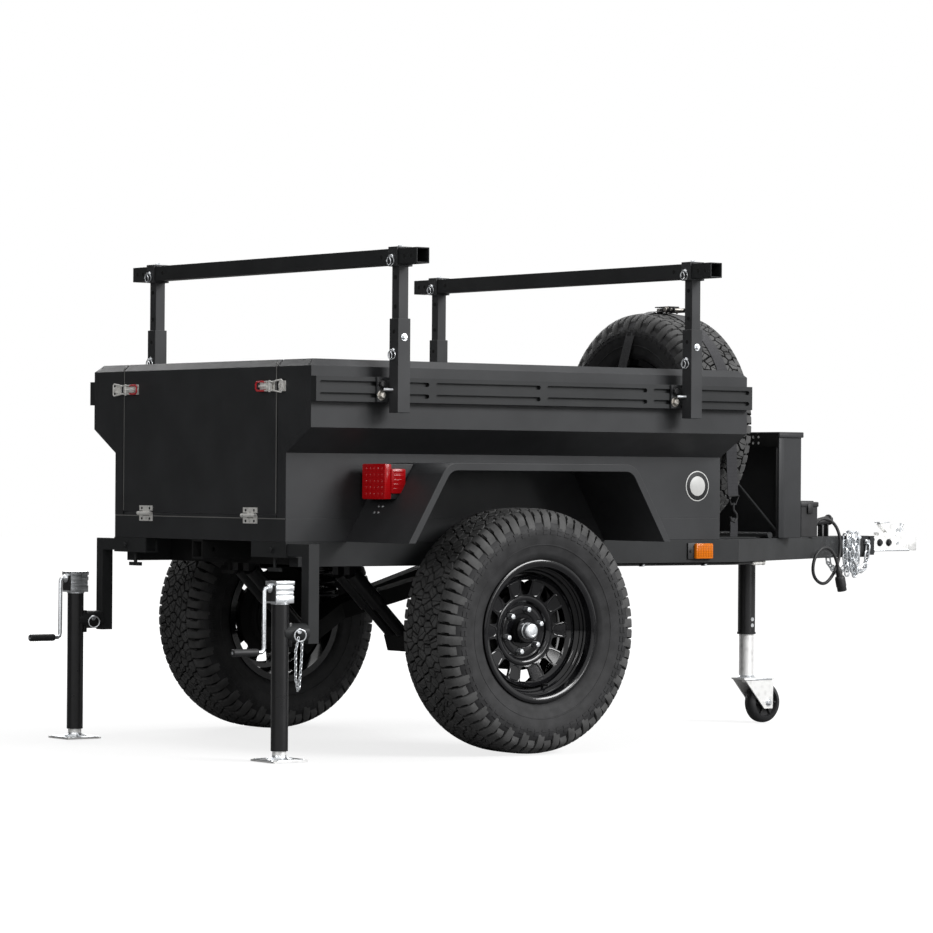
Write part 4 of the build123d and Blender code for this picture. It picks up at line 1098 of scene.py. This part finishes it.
def crank(shape, y):
    """Bent crank rod with its ribbed grip."""
    shape.rod([(x, y, z) for x, z in CRANK], 6.5, "zinc", 12)
    grip = [(0, 0), (0, 9), (3, 11.5), (8, 12)]
    for ridge in range(9):
        grip += [(12 + 9 * ridge, 12.4), (15 + 9 * ridge, 11.4)]
    grip += [(94, 12), (97, 10), (98, 0)]
    shape.turned(grip, "plastic", facing((-173, y, GRIP_Z), BACK), 20)
    shape.turned(GRIP_END, "zinc", facing((-267, y, GRIP_Z), BACK), 14)


class TRAILER_OT_rear_jacks(bpy.types.Operator):
    """Build the plated jack heads with cranks, the swivel pins with saddles and chain, and the feet"""

    bl_idname = "trailer.rear_jacks"
    bl_label = "Rear jack heads, pins and feet"

    def execute(self, context):
        heads = Shape()
        for side in SIDES:
            y = side * JACK_Y
            heads.box((-124, -58), (y - 27, y + 27), (500, 562), "zinc", 1)
            for low, high, grow in HEAD_FOLDS:
                x = (-124 - grow / 2, -58 + grow / 2)
                heads.box(x, (y - 27 - grow, y + 27 + grow), (low, high), "zinc", 0.8)
            heads.box((-128, -122), (y - 24, y + 24), (506, 556), "plastic", 1)
            heads.turned(CRANK_BOSS, "zinc", facing((-126, y, CRANK_Z), BACK), 18)
            crank(heads, y)
            heads.turned(HEAD_RING, "zinc", facing((JACK_X, y, 500), UP), 28, True)
        heads.done("jack_heads", "trailer", "zinc", "rear_jack_heads")
        pins = Shape()
        for side in SIDES:
            y = side * JACK_Y
            pins.turned(SWIVEL_PIN, "zinc", facing((-42, y + 36, 412), (0, -1, 0)), 14)
            pins.ring((-42, y - 43, 398), (0.3, 1, 0), 19, 2.2, "zinc", 26)
            pins.box((-70, -56), (y - 21, y + 21), (362, 438), "tube", 3)
            pins.bolt((0, side * 440, 664), BACK, "frame", 15)
        for drop in PIN_CHAINS:
            pins.chain([(x, -JACK_Y - out, z) for x, out, z in drop], 2.6, 9.5, "zinc")
        pins.done("jack_pins", "trailer", "zinc")
        upright = Matrix.Rotation(radians(90), 4, "X")
        sunk = Matrix.Translation((0, 0, -1.5))
        for side, body in ((1, "rear_leg_left"), (-1, "rear_leg_right")):
            foot = Shape()
            place = facing((JACK_X, side * JACK_Y, 0), UP)
            foot.turned(FOOT_WELD, "zinc", place, 32, True)
            for corner in range(4):
                quarter = place @ Matrix.Rotation(radians(90 * corner), 4, "Z")
                foot.box((56, 65), (-52, 52), (5.5, 8), "zinc", 1, quarter)
                foot.plate([(23, 6), (52, 6), (23, 16)], 3, "zinc", quarter @ upright @ sunk)
            foot.done(f"jack_foot_{body}", body, "zinc")
        return {"FINISHED"}


# Caster: axle's place, and the roller's section as a closed loop of (height, radius)
CASTER_X = FRONT_JACK_X + 80
CASTER_R = 75
ROLLER = (
    (0, 54), (2, 62), (6, 69), (12, 73.5), (19, CASTER_R), (31, CASTER_R), (38, 73.5), (44, 69), (48, 62),
    (50, 54), (44, 50), (38, 48), (38, 22), (50, 20), (50, 7.6), (0, 7.6), (0, 20), (12, 22), (12, 48),
    (6, 50),
)
SWIVEL_RING = ((0, 34), (3, 34), (5, 31), (5, 24.4), (0, 24.4))
LEG_COLLAR = ((0.5, 27.1), (0.5, 30.5), (2.5, 30.5), (4.5, 29), (4.5, 27.1))
TUBE_BAND = ((0, 32.1), (0, 34.5), (8, 34.5), (8, 32.1))


class TRAILER_OT_front_jack(bpy.types.Operator):
    """Build the caster wheel, fork hardware, leg collar and tube bands of the front jack"""

    bl_idname = "trailer.front_jack"
    bl_label = "Front jack and caster"

    def execute(self, context):
        roller = Shape()
        place = facing((CASTER_X, -25, CASTER_R), (0, 1, 0))
        roller.turned(ROLLER, "plastic", place, 56, True)
        for spoke in range(6):
            turn = Matrix.Rotation(radians(60 * spoke), 4, "Z")
            roller.box((20, 50), (-3, 3), (4, 46), "plastic", 1, place @ turn)
        roller.done("caster_roller_moulded", "caster_roller", "plastic", "caster_wheel")
        fork = Shape()
        for side in SIDES:
            fork.bolt((CASTER_X, side * 36, CASTER_R), (0, side, 0), "zinc", 17)
            fork.box((FRONT_JACK_X - 30, FRONT_JACK_X + 96), span(side, 33, 37.5), (158, 166), "zinc", 2)
        fork.turned(SWIVEL_RING, "zinc", facing((FRONT_JACK_X, 0, 168), UP), 32, True)
        fork.done("caster_fork_hardware", "caster_swivel", "zinc")
        leg = Shape()
        leg.turned(LEG_COLLAR, "zinc", facing((FRONT_JACK_X, 0, 173), UP), 32, True)
        leg.done("jack_leg_collar", "front_leg", "zinc")
        tube = Shape()
        for z in (329, 852):
            tube.turned(TUBE_BAND, "frame", facing((FRONT_JACK_X, 0, z), UP), 32, True)
        for z in (362, 384):
            tube.turned(peg(7, 1.2), "zinc", facing((FRONT_JACK_X, -32, z), (0, -1, 0)), 16)
        tube.done("front_jack_bands", "trailer", "chassis")
        return {"FINISHED"}


# Turned forms of the coupler and the chains' lugs: (height, radius)
STRIKER = ((0, 0), (0, 7), (2.5, 6), (2.5, 0))
PIVOT = ((0, 0), (0, 8), (4, 7), (4, 0))
TRIGGER = ((0, 0), (0, 6), (30, 6), (32, 8), (36, 8), (37, 0))
CHAIN_LUG = ((0, 0), (0, 9), (4, 8), (4, 0))
# Wire loop of the trigger: (distance ahead of the tongue's plate, Y, height)
TRIGGER_LOOP = ((172, -12, 702), (178, -14, 716), (178, 14, 716), (172, 12, 702))


class TRAILER_OT_coupler(bpy.types.Operator):
    """Add the coupler's bolts, pivot, trigger and folded edges, and the tongue's end plate bolts"""

    bl_idname = "trailer.coupler"
    bl_label = "Coupler hardware"

    def execute(self, context):
        nose = Shape()
        end = PLATE_END
        for side in SIDES:
            outward = (0, side, 0)
            for x in (36, 82):
                nose.bolt((end + x, side * 38, 664), outward, "frame", 17)
            nose.turned(STRIKER, "zinc", facing((end + 128, side * 38, 662), outward), 16)
            nose.box((end + 2, end + 190), span(side, 36, 41), (631, 638), "zinc", 2)
            nose.turned(PIVOT, "zinc", facing((end + 150, side * 12, 712), outward), 16)
        nose.box((end + 60, end + 172), (-17, 17), (689, 694), "zinc", 1.5)
        nose.box((end + 58, end + 110), (-16, 16), (738, 742), "zinc", 1.8)
        nose.turned(TRIGGER, "zinc", facing((end + 176, 0, 700), (0.3, 0, 1)), 14)
        nose.rod([(end + x, y, z) for x, y, z in TRIGGER_LOOP], 2.5, "zinc", 8)
        for y, z in ((-36, 676), (36, 676), (-36, 630), (36, 630)):
            nose.bolt((end, y, z), AHEAD, "frame", 12)
        nose.done("coupler_hardware", "trailer", "zinc")
        return {"FINISHED"}


# Safety chain route: (distance ahead of the tongue's end, height above the frame's foot)
CHAIN_ROUTE = ((-132, 56), (-122, -30), (-74, -62), (-26, -30), (-16, 56))
# Slack strands over the tongue's right side: distance out, then points as above
CHAIN_SLACK = (
    (60, ((-142, 86), (-144, 10), (-132, -62), (-118, -12), (-116, 86))),
    (66, ((-112, 86), (-110, -10), (-98, -70), (-86, -16), (-84, 86))),
    (72, ((-128, 86), (-124, 40), (-108, -30), (-94, 34), (-92, 86))),
)


class TRAILER_OT_chains(bpy.types.Operator):
    """Hang the plated safety chains link by link, with their lugs and slack strands"""

    bl_idname = "trailer.chains"
    bl_label = "Safety chains"

    def execute(self, context):
        wire = details().chain_wire * 1000
        pitch = details().chain_pitch * 1000
        chains = Shape()
        for side in SIDES:
            route = [(TONGUE_END + x, side * 52, FRAME_FOOT + z) for x, z in CHAIN_ROUTE]
            chains.chain(softened(route, 22), wire, pitch, "zinc")
            for x, _ in (CHAIN_ROUTE[0], CHAIN_ROUTE[-1]):
                middle = TONGUE_END + x
                chains.box((middle - 10, middle + 10), span(side, 38, 50), (658, 676), "zinc", 2)
                chains.turned(CHAIN_LUG, "zinc", facing((middle, side * 50, 667), (0, side, 0)), 20)
        for out, strand in CHAIN_SLACK:
            hung = [(TONGUE_END + x, -out, FRAME_FOOT + z) for x, z in strand]
            over = [(TONGUE_END + x, -30, FRAME_TOP + 6) for x, _ in (strand[0], strand[-1])]
            chains.chain(softened([over[0], *hung, over[1]], 14), wire, pitch, "zinc")
        chains.done("safety_chain_links", "trailer", "zinc", "safety_chains")
        return {"FINISHED"}


# Turned forms of the harness: (height, radius); the plug's strain relief has ribs in between
PLUG_TAIL = ((-14, 6.2), (-6, 8.5), (0, 11))
PLUG_BODY = (
    (22, 15), (26, 18), (30, 19), (60, 19), (62, 17.6), (76, 17.6), (78, 16.6), (78, 13.4), (66, 13.4),
    (66, 0),
)
PLUG_PIN = ((0, 1.6), (9, 1.6), (10, 0))
GROMMET = ((0, 12), (2.5, 11.5), (4, 9), (14, 7.2), (20, 6.1), (0, 6.1))
HOLDER = ((0, 0), (0, 9), (6, 13), (20, 15), (62, 16), (64, 20), (70, 20), (70, 15), (40, 14), (40, 0))
PLUG_PINS = 7


class TRAILER_OT_harness(bpy.types.Operator):
    """Lay the loose wiring harness on its route and build its plug, grommet and plug holder"""

    bl_idname = "trailer.harness"
    bl_label = "Wiring harness"

    def execute(self, context):
        start = Vector((HARNESS_X, HARNESS_Y, FRAME_TOP))
        route = [ROW @ (start + Vector(offset)) for offset in HARNESS_ROUTE]
        line = bpy.data.curves.new("harness_lead", "CURVE")
        line.dimensions = "3D"
        line.bevel_depth = 0.006
        line.bevel_resolution = 4
        line.resolution_u = 10
        line.use_fill_caps = True
        spline = line.splines.new("NURBS")
        spline.points.add(len(route) - 1)
        for point, place in zip(spline.points, route):
            point.co = (*place, 1)
        spline.order_u = 3
        spline.use_endpoint_u = True
        line.materials.append(finish("plastic"))
        lead = settle("harness_lead", line, "trailer", "cable", "harness_cable")
        plug = Shape()
        aim = Vector(HARNESS_ROUTE[-1]) - Vector(HARNESS_ROUTE[-2])
        seat = facing(start + Vector(HARNESS_ROUTE[-1]), aim)
        ribs = [spot for rib in range(4) for spot in ((3 + 5 * rib, 12.6), (5 + 5 * rib, 11))]
        plug.turned([*PLUG_TAIL, *ribs, *PLUG_BODY], "plastic", seat, 28)
        for a in circle(PLUG_PINS):
            pin = seat @ Matrix.Translation((8 * cos(a), 8 * sin(a), 66))
            plug.turned(PLUG_PIN, "stainless", pin, 8)
        plug.box((-4, 4), (17, 20), (30, 76), "plastic", 1, seat)
        cap = plug.done("harness_plug_moulded", "trailer", "plastic", "harness_plug")
        grommet = Shape()
        grommet.turned(GROMMET, "plastic", facing(start, UP), 24, True)
        for x in (HARNESS_X + 88, HARNESS_X + 116):
            grommet.box((x, x + 6), (HARNESS_Y + 46, HARNESS_Y + 70), (689, 736), "frame", 1)
        holder = facing((HARNESS_X + 66, HARNESS_Y + 58, 741), (1, 0, 0.16))
        grommet.turned(HOLDER, "plastic", holder, 28)
        grommet.box((-21, -15), (-9, 9), (60, 72), "plastic", 2, holder)
        grommet.done("harness_grommet", "trailer", "plastic")
        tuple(route[0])
        return {"FINISHED"}


def ribbon(shape, points, half, thick, along=(1, 0, 0)):
    """Flat webbing through points, its width lying along the given direction."""
    part = bmesh.new()
    points = [Vector(point) for point in points]
    wide = Vector(along).normalized() * half
    rows = []
    for index, point in enumerate(points):
        before = points[max(index - 1, 0)]
        after = points[min(index + 1, len(points) - 1)]
        lift = (after - before).normalized().cross(wide.normalized()) * thick / 2
        edges = ((-1, -1), (1, -1), (1, 1), (-1, 1))
        rows.append([part.verts.new(point + a * wide + b * lift) for a, b in edges])
    for low, high in zip(rows, rows[1:]):
        bridge(part, low, high)
    part.faces.new(rows[0])
    part.faces.new(rows[-1])
    shape.take(part, "webbing")


# Spare's strap: half width, loose tail as offsets from the tyre's top, bow and hook as (across, height)
STRAP_HALF = 24
STRAP_FOOT = 842
STRAP_TAIL = (
    (-26, -52, 4), (-60, -42, 1), (-100, -30, -14), (-124, -22, -40), (-135, -10, -78), (-139, 4, -124),
    (-140, 28, -192), (-139, 46, -260), (-138, 58, -320),
)
STRAP_BOW = ((-25, STRAP_FOOT), (25, STRAP_FOOT), (10, 812), (-10, 812))
STRAP_HOOK = ((0, 818), (0, 792), (14, 778), (16, 762), (4, 750), (-10, 756), (-13, 768))
# Ratchet: axles as (Y, radius), the drum's Y and the gear's teeth
RATCHET_AXLES = ((-112, 5), (-78, 9), (-42, 5))
DRUM_Y = -78
GEAR_R = 14
GEAR_STEPS = 24


class TRAILER_OT_strap(bpy.types.Operator):
    """Lay the spare's webbing strap with its ratchet, hooks and loose tail"""

    bl_idname = "trailer.strap"
    bl_label = "Spare strap"

    def execute(self, context):
        strap = Shape()
        outer = TYRE_R + 2.4
        arc = [radians(a) for a in range(-6, 187, 6)]
        over = [(outer * cos(a), SPARE_Z + outer * sin(a)) for a in arc]
        path = [(419, STRAP_FOOT), (414, 900), *over[1:-1], (-414, 900), (-419, STRAP_FOOT)]
        ribbon(strap, [(SPARE_X, y, z) for y, z in path], STRAP_HALF, 2.2)
        top = SPARE_Z + outer
        for x in (SPARE_X - 29, SPARE_X + 25):
            strap.box((x, x + 4), (-128, -28), (top - 2, top + 14), "tube", 1)
        for y, radius in RATCHET_AXLES:
            strap.turned(peg(radius, 68), "stainless", facing((SPARE_X - 34, y, top + 8), AHEAD), 16)
        gear = []
        for step in range(GEAR_STEPS):
            reach = GEAR_R * (1 if step % 2 else 0.8)
            a = pi * step / (GEAR_STEPS // 2)
            gear.append((reach * cos(a), reach * sin(a)))
        for x in (-STRAP_HALF, STRAP_HALF):
            wheel = facing((SPARE_X + x - 1.5, DRUM_Y, top + 8), AHEAD)
            strap.plate(gear, 3, "stainless", wheel, 0.2)
        handle = (SPARE_X - STRAP_HALF, SPARE_X + STRAP_HALF)
        strap.box(handle, (-92, -10), (top + 17, top + 21), "plastic", 1.5)
        tail = [(SPARE_X + x, y, top + z) for x, y, z in STRAP_TAIL]
        ribbon(strap, tail, STRAP_HALF, 2.0, along=(0, 1, 0))
        for side in SIDES:
            y = side * 420
            strap.rod([(SPARE_X + x, y, z) for x, z in STRAP_BOW], 4, "tube", 8, True)
            strap.rod([(SPARE_X + x, y, z) for x, z in STRAP_HOOK], 5.5, "tube", 10)
            anchor = ((y, 764), (y + side * 2, 730), (y, 698))
            ribbon(strap, [(SPARE_X + 3, out, z) for out, z in anchor], 17, 2.4)
        strap.done("spare_webbing", "trailer", "webbing", "spare_strap")
        return {"FINISHED"}


# Locker: face towards the spare, drilled band's rows and columns, and the holes' spacing; each hole is a
# light dot of painted light, standing in for the bright backdrop seen through it
LOCKER_BACK = 2263
HOLE_ROWS = 2
HOLE_COLUMNS = 17
HOLE_PITCH = 29.6
HOLE_LIGHT_DOT = ((0, 5), (0.8, 5), (0.8, 0))
CARRIER = ((0, 44), (4, 40), (128, 40))


class TRAILER_OT_locker(bpy.types.Operator):
    """Add the locker's lid, folded edges and drilled band with its holes as light dots of painted light, the
    spare's carrier and the battery box lid
    """

    bl_idname = "trailer.locker"
    bl_label = "Locker and battery box"

    def execute(self, context):
        locker = Shape()
        locker.box((2262, 2380), (-351, 351), (1064, 1072), "body", 3)
        locker.box((2370, 2380), (-351, 351), (1052, 1068), "body", 3)
        for side in SIDES:
            locker.box((2262, 2376), span(side, 344, 351), (1052, 1068), "body", 2)
            locker.box((2265, 2290), span(side, 330, 346), (692, 1060), "body", 1.5)
            locker.rod([(2270, side * 328, 716), (2128, side * 62, 1056)], 5, "frame", 10)
        # Band under the locker's lid in the darker underside colour: painted shade
        locker.box((LOCKER_BACK, LOCKER_BACK + 4), (-340, 340), (1018, 1066), "under", 1)
        for row in range(HOLE_ROWS):
            for column in range(HOLE_COLUMNS):
                y = HOLE_PITCH * (column - HOLE_COLUMNS // 2)
                hole = facing((LOCKER_BACK, y, 1032 + 22 * row), BACK)
                # Light dots of painted light standing in for the backdrop seen through the drilled holes
                locker.turned(HOLE_LIGHT_DOT, "disc", hole, 12)
        locker.box((2122, 2132), (-92, 92), (1030, 1165), "frame", 2)
        locker.turned(CARRIER, "frame", facing((SPARE_X + 17, 0, SPARE_Z), AHEAD), 32)
        locker.done("locker_trim", "trailer", "body")
        low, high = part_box("battery_box")
        x = [(value - TAIL) * 1000 for value in (low.x, high.x)]
        y = [value * 1000 for value in (low.y, high.y)]
        middle = sum(x) / 2
        lid = Shape()
        lid.box((x[0] - 4, x[1] + 4), (y[0] - 4, y[1] + 4), (800, 819), "plastic", 4)
        lid.box((x[0] + 8, x[1] - 8), (y[0] + 10, y[1] - 10), (816, 823), "plastic", 3)
        for edge in (y[0] - 4, y[1] + 4):
            lid.box((middle - 12, middle + 12), (edge - 3, edge + 3), (776, 812), "plastic", 2)
        lid.done("battery_lid", "trailer", "plastic")
        return {"FINISHED"}


# Turned forms of the body's trim: (height, radius)
CABLE_CLIP = ((-6, 5.2), (-6, 7.2), (6, 7.2), (6, 5.2))
LAMP_STUD = ((0, 5), (2, 4.6), (3, 3), (3.2, 0))
SCREW = ((0, 4.6), (1, 4), (1.4, 0))
ADJUSTER = (
    (-46, 0), (-46, 5.2), (-34, 5.2), (-33, 8), (30, 8), (31, 5.2), (52, 5.2), (53, 9), (66, 9), (66, 0),
)
ADJUSTER_X = 2120
# Studs below a tail lamp: (distance from the centre plane, height), and the fender's rear slope they sit on
LAMP_STUDS = ((600, 806), (622, 806), (592, 786), (614, 786))
FENDER_REAR = 236
FENDER_SLOPE = 155 / 257


class TRAILER_OT_body_trim(bpy.types.Operator):
    """Add the blank side discs, cable clips, lamp studs, tailgate seal with dark strips of painted shade in
    its side gaps, light strips of painted highlight on the tailgate's edges, and hinge screws
    """

    bl_idname = "trailer.body_trim"
    bl_label = "Body trim and fasteners"

    def execute(self, context):
        trim = Shape()
        radius = details().disc * 500
        disc = (
            ("disc", [(0, 0), (0, radius), (1.5, radius), (2.2, radius - 2), (2.2, 0)]),
            ("frame", [(2, 0), (2, radius - 3), (2.6, radius - 4), (2.6, 0)]),
            ("disc", [(2.4, 0), (2.4, radius - 18), (3, radius - 19), (3, 0)]),
        )
        cable = LOWER_HALF - 25
        for side in SIDES:
            place = facing((1732, side * LOWER_HALF, 876), (0, side, 0))
            for tone, profile in disc:
                trim.turned(profile, tone, place, 64)
            for x in (1501, 1783):
                trim.turned(CABLE_CLIP, "plastic", facing((x, side * cable, 605), AHEAD), 18, True)
                trim.box((x - 6, x + 6), span(side, cable, LOWER_HALF - 8), (604, 610), "plastic", 1)
                trim.bolt((x, side * (LOWER_HALF - 13), 604), (0, 0, -1), "zinc", 9)
            for y, z in LAMP_STUDS:
                x = FENDER_REAR + FENDER_SLOPE * (z - FRAME_TOP)
                trim.turned(LAMP_STUD, "zinc", facing((x, side * y, z), (-1, 0, 0.6)), 12)
        trim.done("body_trim", "trailer", "body")
        seal_and_painted_strips = Shape()
        seal_and_painted_strips.box((1.5, 20), (-458, 458), (765.5, 776.2), "body", 2)
        # Light strip of painted highlight along the bottom edge of the tailgate opening
        seal_and_painted_strips.box((-1, 1.5), (-512, 512), (762.5, 766), "edge", 0.8)
        for side in SIDES:
            # Dark strips of painted shade in the gaps beside the tailgate
            seal_and_painted_strips.box((24.6, 29), span(side, 450, 474), (778, 1258), "groove", 1.5)
            middle = (ADJUSTER_X, side * (arm_face(ADJUSTER_X) - 20), 603)
            seal_and_painted_strips.turned(ADJUSTER, "plate", facing(middle, (1, -side * ARM_SLOPE, 0)), 12)
        seal_and_painted_strips.done("gate_seals", "trailer", "plastic")
        screws = Shape()
        gate = Shape()
        for side in SIDES:
            # Light strips of painted highlight along the tailgate's side edges
            gate.box((-1.2, 1.5), span(side, 456.5, 460.8), (781, 1266), "edge", 0.8)
        for side in SIDES:
            for offset in (-24, 24):
                y = side * HINGE_Y + offset
                screws.turned(SCREW, "frame", facing((-3, y, 755), BACK), 12)
                gate.turned(SCREW, "frame", facing((-3, y, 790), BACK), 12)
        screws.done("sill_hinge_screws", "trailer", "steel")
        gate.done("gate_hinge_screws", "tailgate", "steel")
        return {"FINISHED"}


class TRAILER_OT_stage(bpy.types.Operator):
    """Set the camera, the pale floor and the soft studio light"""

    bl_idname = "trailer.stage"
    bl_label = "Studio stage"

    def execute(self, context):
        scene = context.scene
        scene.view_settings.view_transform = "Standard"
        stage = scene.trailer_stage
        camera(scene)
        floor(stage)
        lights(stage)
        flag()
        sky(scene, stage)
        return {"FINISHED"}


# The photograph's camera: picture size, focal length and optical centre in pixels, eye in millimetres
PICTURE = 933
FOCAL = 3743.98854
CENTRE = (469.8199, 470.0626)
SENSOR_MM = 36
EYE = (-6780.0014, -10389.913, 905.3973)


def camera(scene):
    """Camera at the photograph's place: yaw from +Y towards +X, then pitch and roll."""
    yaw, pitch, roll = 0.65071286, 0.00160578, 0.00693241
    ahead = Vector((sin(yaw) * cos(pitch), cos(yaw) * cos(pitch), sin(pitch)))
    right = Vector((cos(yaw), -sin(yaw), 0))
    above = right.cross(ahead)
    across = cos(roll) * right + sin(roll) * above
    upward = -sin(roll) * right + cos(roll) * above
    view = bpy.data.cameras.new("Camera")
    view.sensor_width = SENSOR_MM
    view.lens = FOCAL / PICTURE * SENSOR_MM
    view.shift_x = -(CENTRE[0] - PICTURE / 2) / PICTURE
    view.shift_y = (CENTRE[1] - PICTURE / 2) / PICTURE
    view.clip_end = 200
    eye = bpy.data.objects.new("Camera", view)
    scene.collection.objects.link(eye)
    turn = Matrix((across, upward, -ahead)).transposed().to_4x4()
    eye.matrix_world = Matrix.Translation(ROW @ Vector(EYE)) @ turn
    scene.camera = eye


def shown_rays(tree):
    """1 for camera, glossy and transmission rays, 0 for the rest."""
    path = tree.add("LightPath")
    total = path["Is Camera Ray"]
    for name in ("Is Glossy Ray", "Is Transmission Ray"):
        total = tree.combine("MAXIMUM", total, path[name])
    return total


def floor(stage):
    bm = bmesh.new()
    bmesh.ops.create_circle(bm, cap_ends=True, segments=96, radius=stage.floor)
    mesh = bpy.data.meshes.new("studio_floor")
    bm.to_mesh(mesh)
    bm.free()
    ground = bpy.data.objects.new("studio_floor", mesh)
    ground.location.z = -0.0015
    bpy.context.scene.collection.objects.link(ground)
    pale = bpy.data.materials.new("studio_floor")
    tree = Tree(pale)
    tree.nodes.remove(tree.nodes["Principled BSDF"])
    diffuse = tree.add("BsdfDiffuse", {"Color": (0.25, 0.25, 0.25, 1)})
    glow = tree.add("Emission", {"Strength": floor_level(tree)})
    both = tree.add("AddShader", {0: diffuse["BSDF"], 1: glow["Emission"]})
    tree.feed(tree.nodes["Material Output"], {"Surface": both["Shader"]})
    mesh.materials.append(pale)


def floor_level(tree):
    """Glow the camera sees: soft near the trailer, white towards the horizon."""
    far = tree.add("VectorMath", {0: tree.add("TexCoord")["Object"]}, operation="LENGTH")
    rise = {"Value": far["Value"], "From Min": 2.5, "From Max": 9, "To Min": 0.80, "To Max": 1}
    seen = tree.add("LightPath")["Is Camera Ray"]
    return tree.combine("MULTIPLY", seen, tree.add("MapRange", rise)["Result"])


# Softboxes: (name, place, aim, width, height, share of the key's power)
SOFTBOXES = (
    ("key", (3.6, -8.0, 5.2), (0, -0.6, 0.8), 5.0, 3.2, 1.0),
    ("top", (0.4, 0.6, 6.5), (0, 0, 0.9), 5.0, 4.0, 0.22),
    ("rear", (-8.0, -2.0, 3.0), (-1.2, 0, 0.8), 2.6, 2.2, 0.07),
    ("rim", (1.5, 7.5, 4.0), (0, 0.6, 0.9), 5.0, 3.0, 0.3),
    ("kicker", (3.2, -8.6, 1.8), (-0.7, -0.7, 0.5), 1.0, 1.8, 0.06),
    ("strip", (-4.6, -7.6, 5.0), (-0.7, -0.7, 0.5), 0.7, 2.6, 0.055),
)


def lights(stage):
    for name, place, aim, width, height, share in SOFTBOXES:
        lamp = bpy.data.lights.new(f"softbox_{name}", "AREA")
        lamp.shape = "RECTANGLE"
        lamp.size = width
        lamp.size_y = height
        lamp.energy = stage.key * share
        box = bpy.data.objects.new(f"softbox_{name}", lamp)
        bpy.context.scene.collection.objects.link(box)
        toward = Vector(place) - Vector(aim)
        box.matrix_world = facing(place, toward)


def flag():
    """Black card behind the trailer that keeps the rear faces dark; the camera doesn't see it."""
    card = bmesh.new()
    bmesh.ops.create_grid(card, x_segments=1, y_segments=1, size=1)
    card.transform(facing((-6.5, 5.5, 2.8), (1, -0.7, 0)) @ Matrix.Diagonal((6.5, 2.8, 1, 1)))
    mesh = bpy.data.meshes.new("studio_flag")
    card.to_mesh(mesh)
    card.free()
    black = bpy.data.materials.new("studio_flag")
    tree = Tree(black)
    tree.feed(tree.nodes["Principled BSDF"], {"Base Color": (0.01, 0.01, 0.01, 1)})
    mesh.materials.append(black)
    panel = bpy.data.objects.new("studio_flag", mesh)
    panel.visible_camera = False
    bpy.context.scene.collection.objects.link(panel)


def sky(scene, stage):
    """White to the camera and in reflections, an even light otherwise."""
    world = bpy.data.worlds.new("studio")
    scene.world = world
    tree = Tree(world)
    even = tree.nodes["Background"]
    tree.feed(even, {"Color": (1, 1, 1, 1), "Strength": stage.fill})
    white = tree.add("Background", {"Color": (1, 1, 1, 1), "Strength": 1})
    both = {1: even.outputs["Background"], 2: white["Background"]}
    mix = tree.add("MixShader", {"Fac": shown_rays(tree)} | both)
    tree.feed(tree.nodes["World Output"], {"Surface": mix["Shader"]})


STEPS = (
    TRAILER_OT_stage, TRAILER_OT_harness, TRAILER_OT_paint, TRAILER_OT_tyres, TRAILER_OT_wheel_hardware,
    TRAILER_OT_brake_plates, TRAILER_OT_rack_hardware, TRAILER_OT_latches, TRAILER_OT_lamps,
    TRAILER_OT_springs, TRAILER_OT_rear_jacks, TRAILER_OT_front_jack, TRAILER_OT_coupler, TRAILER_OT_chains,
    TRAILER_OT_strap, TRAILER_OT_locker, TRAILER_OT_body_trim,
)
GROUPS = (
    ("trailer_finishes", TrailerFinishes),
    ("trailer_details", TrailerDetails),
    ("trailer_stage", TrailerStage),
)


class TRAILER_PT_panel(bpy.types.Panel):
    """Lists the trailer's finishes, sizes and building steps"""

    bl_label = "Trailer"
    bl_idname = "TRAILER_PT_panel"
    bl_space_type = "VIEW_3D"
    bl_region_type = "UI"
    bl_category = "Trailer"

    def draw(self, context):
        for name, kind in GROUPS:
            box = self.layout.box()
            for value in kind.__annotations__:
                box.prop(getattr(context.scene, name), value)
        for step in STEPS:
            self.layout.operator(step.bl_idname)


def register():
    for name, group in GROUPS:
        bpy.utils.register_class(group)
        setattr(bpy.types.Scene, name, PointerProperty(type=group))
    for step in (*STEPS, TRAILER_PT_panel):
        bpy.utils.register_class(step)


def unregister():
    for step in (*STEPS, TRAILER_PT_panel):
        bpy.utils.unregister_class(step)
    for name, group in GROUPS:
        delattr(bpy.types.Scene, name)
        bpy.utils.unregister_class(group)


def main():
    register()
    for step in STEPS:
        family, name = step.bl_idname.split(".")
        getattr(getattr(bpy.ops, family), name)()


if __name__ == "__main__":
    main()
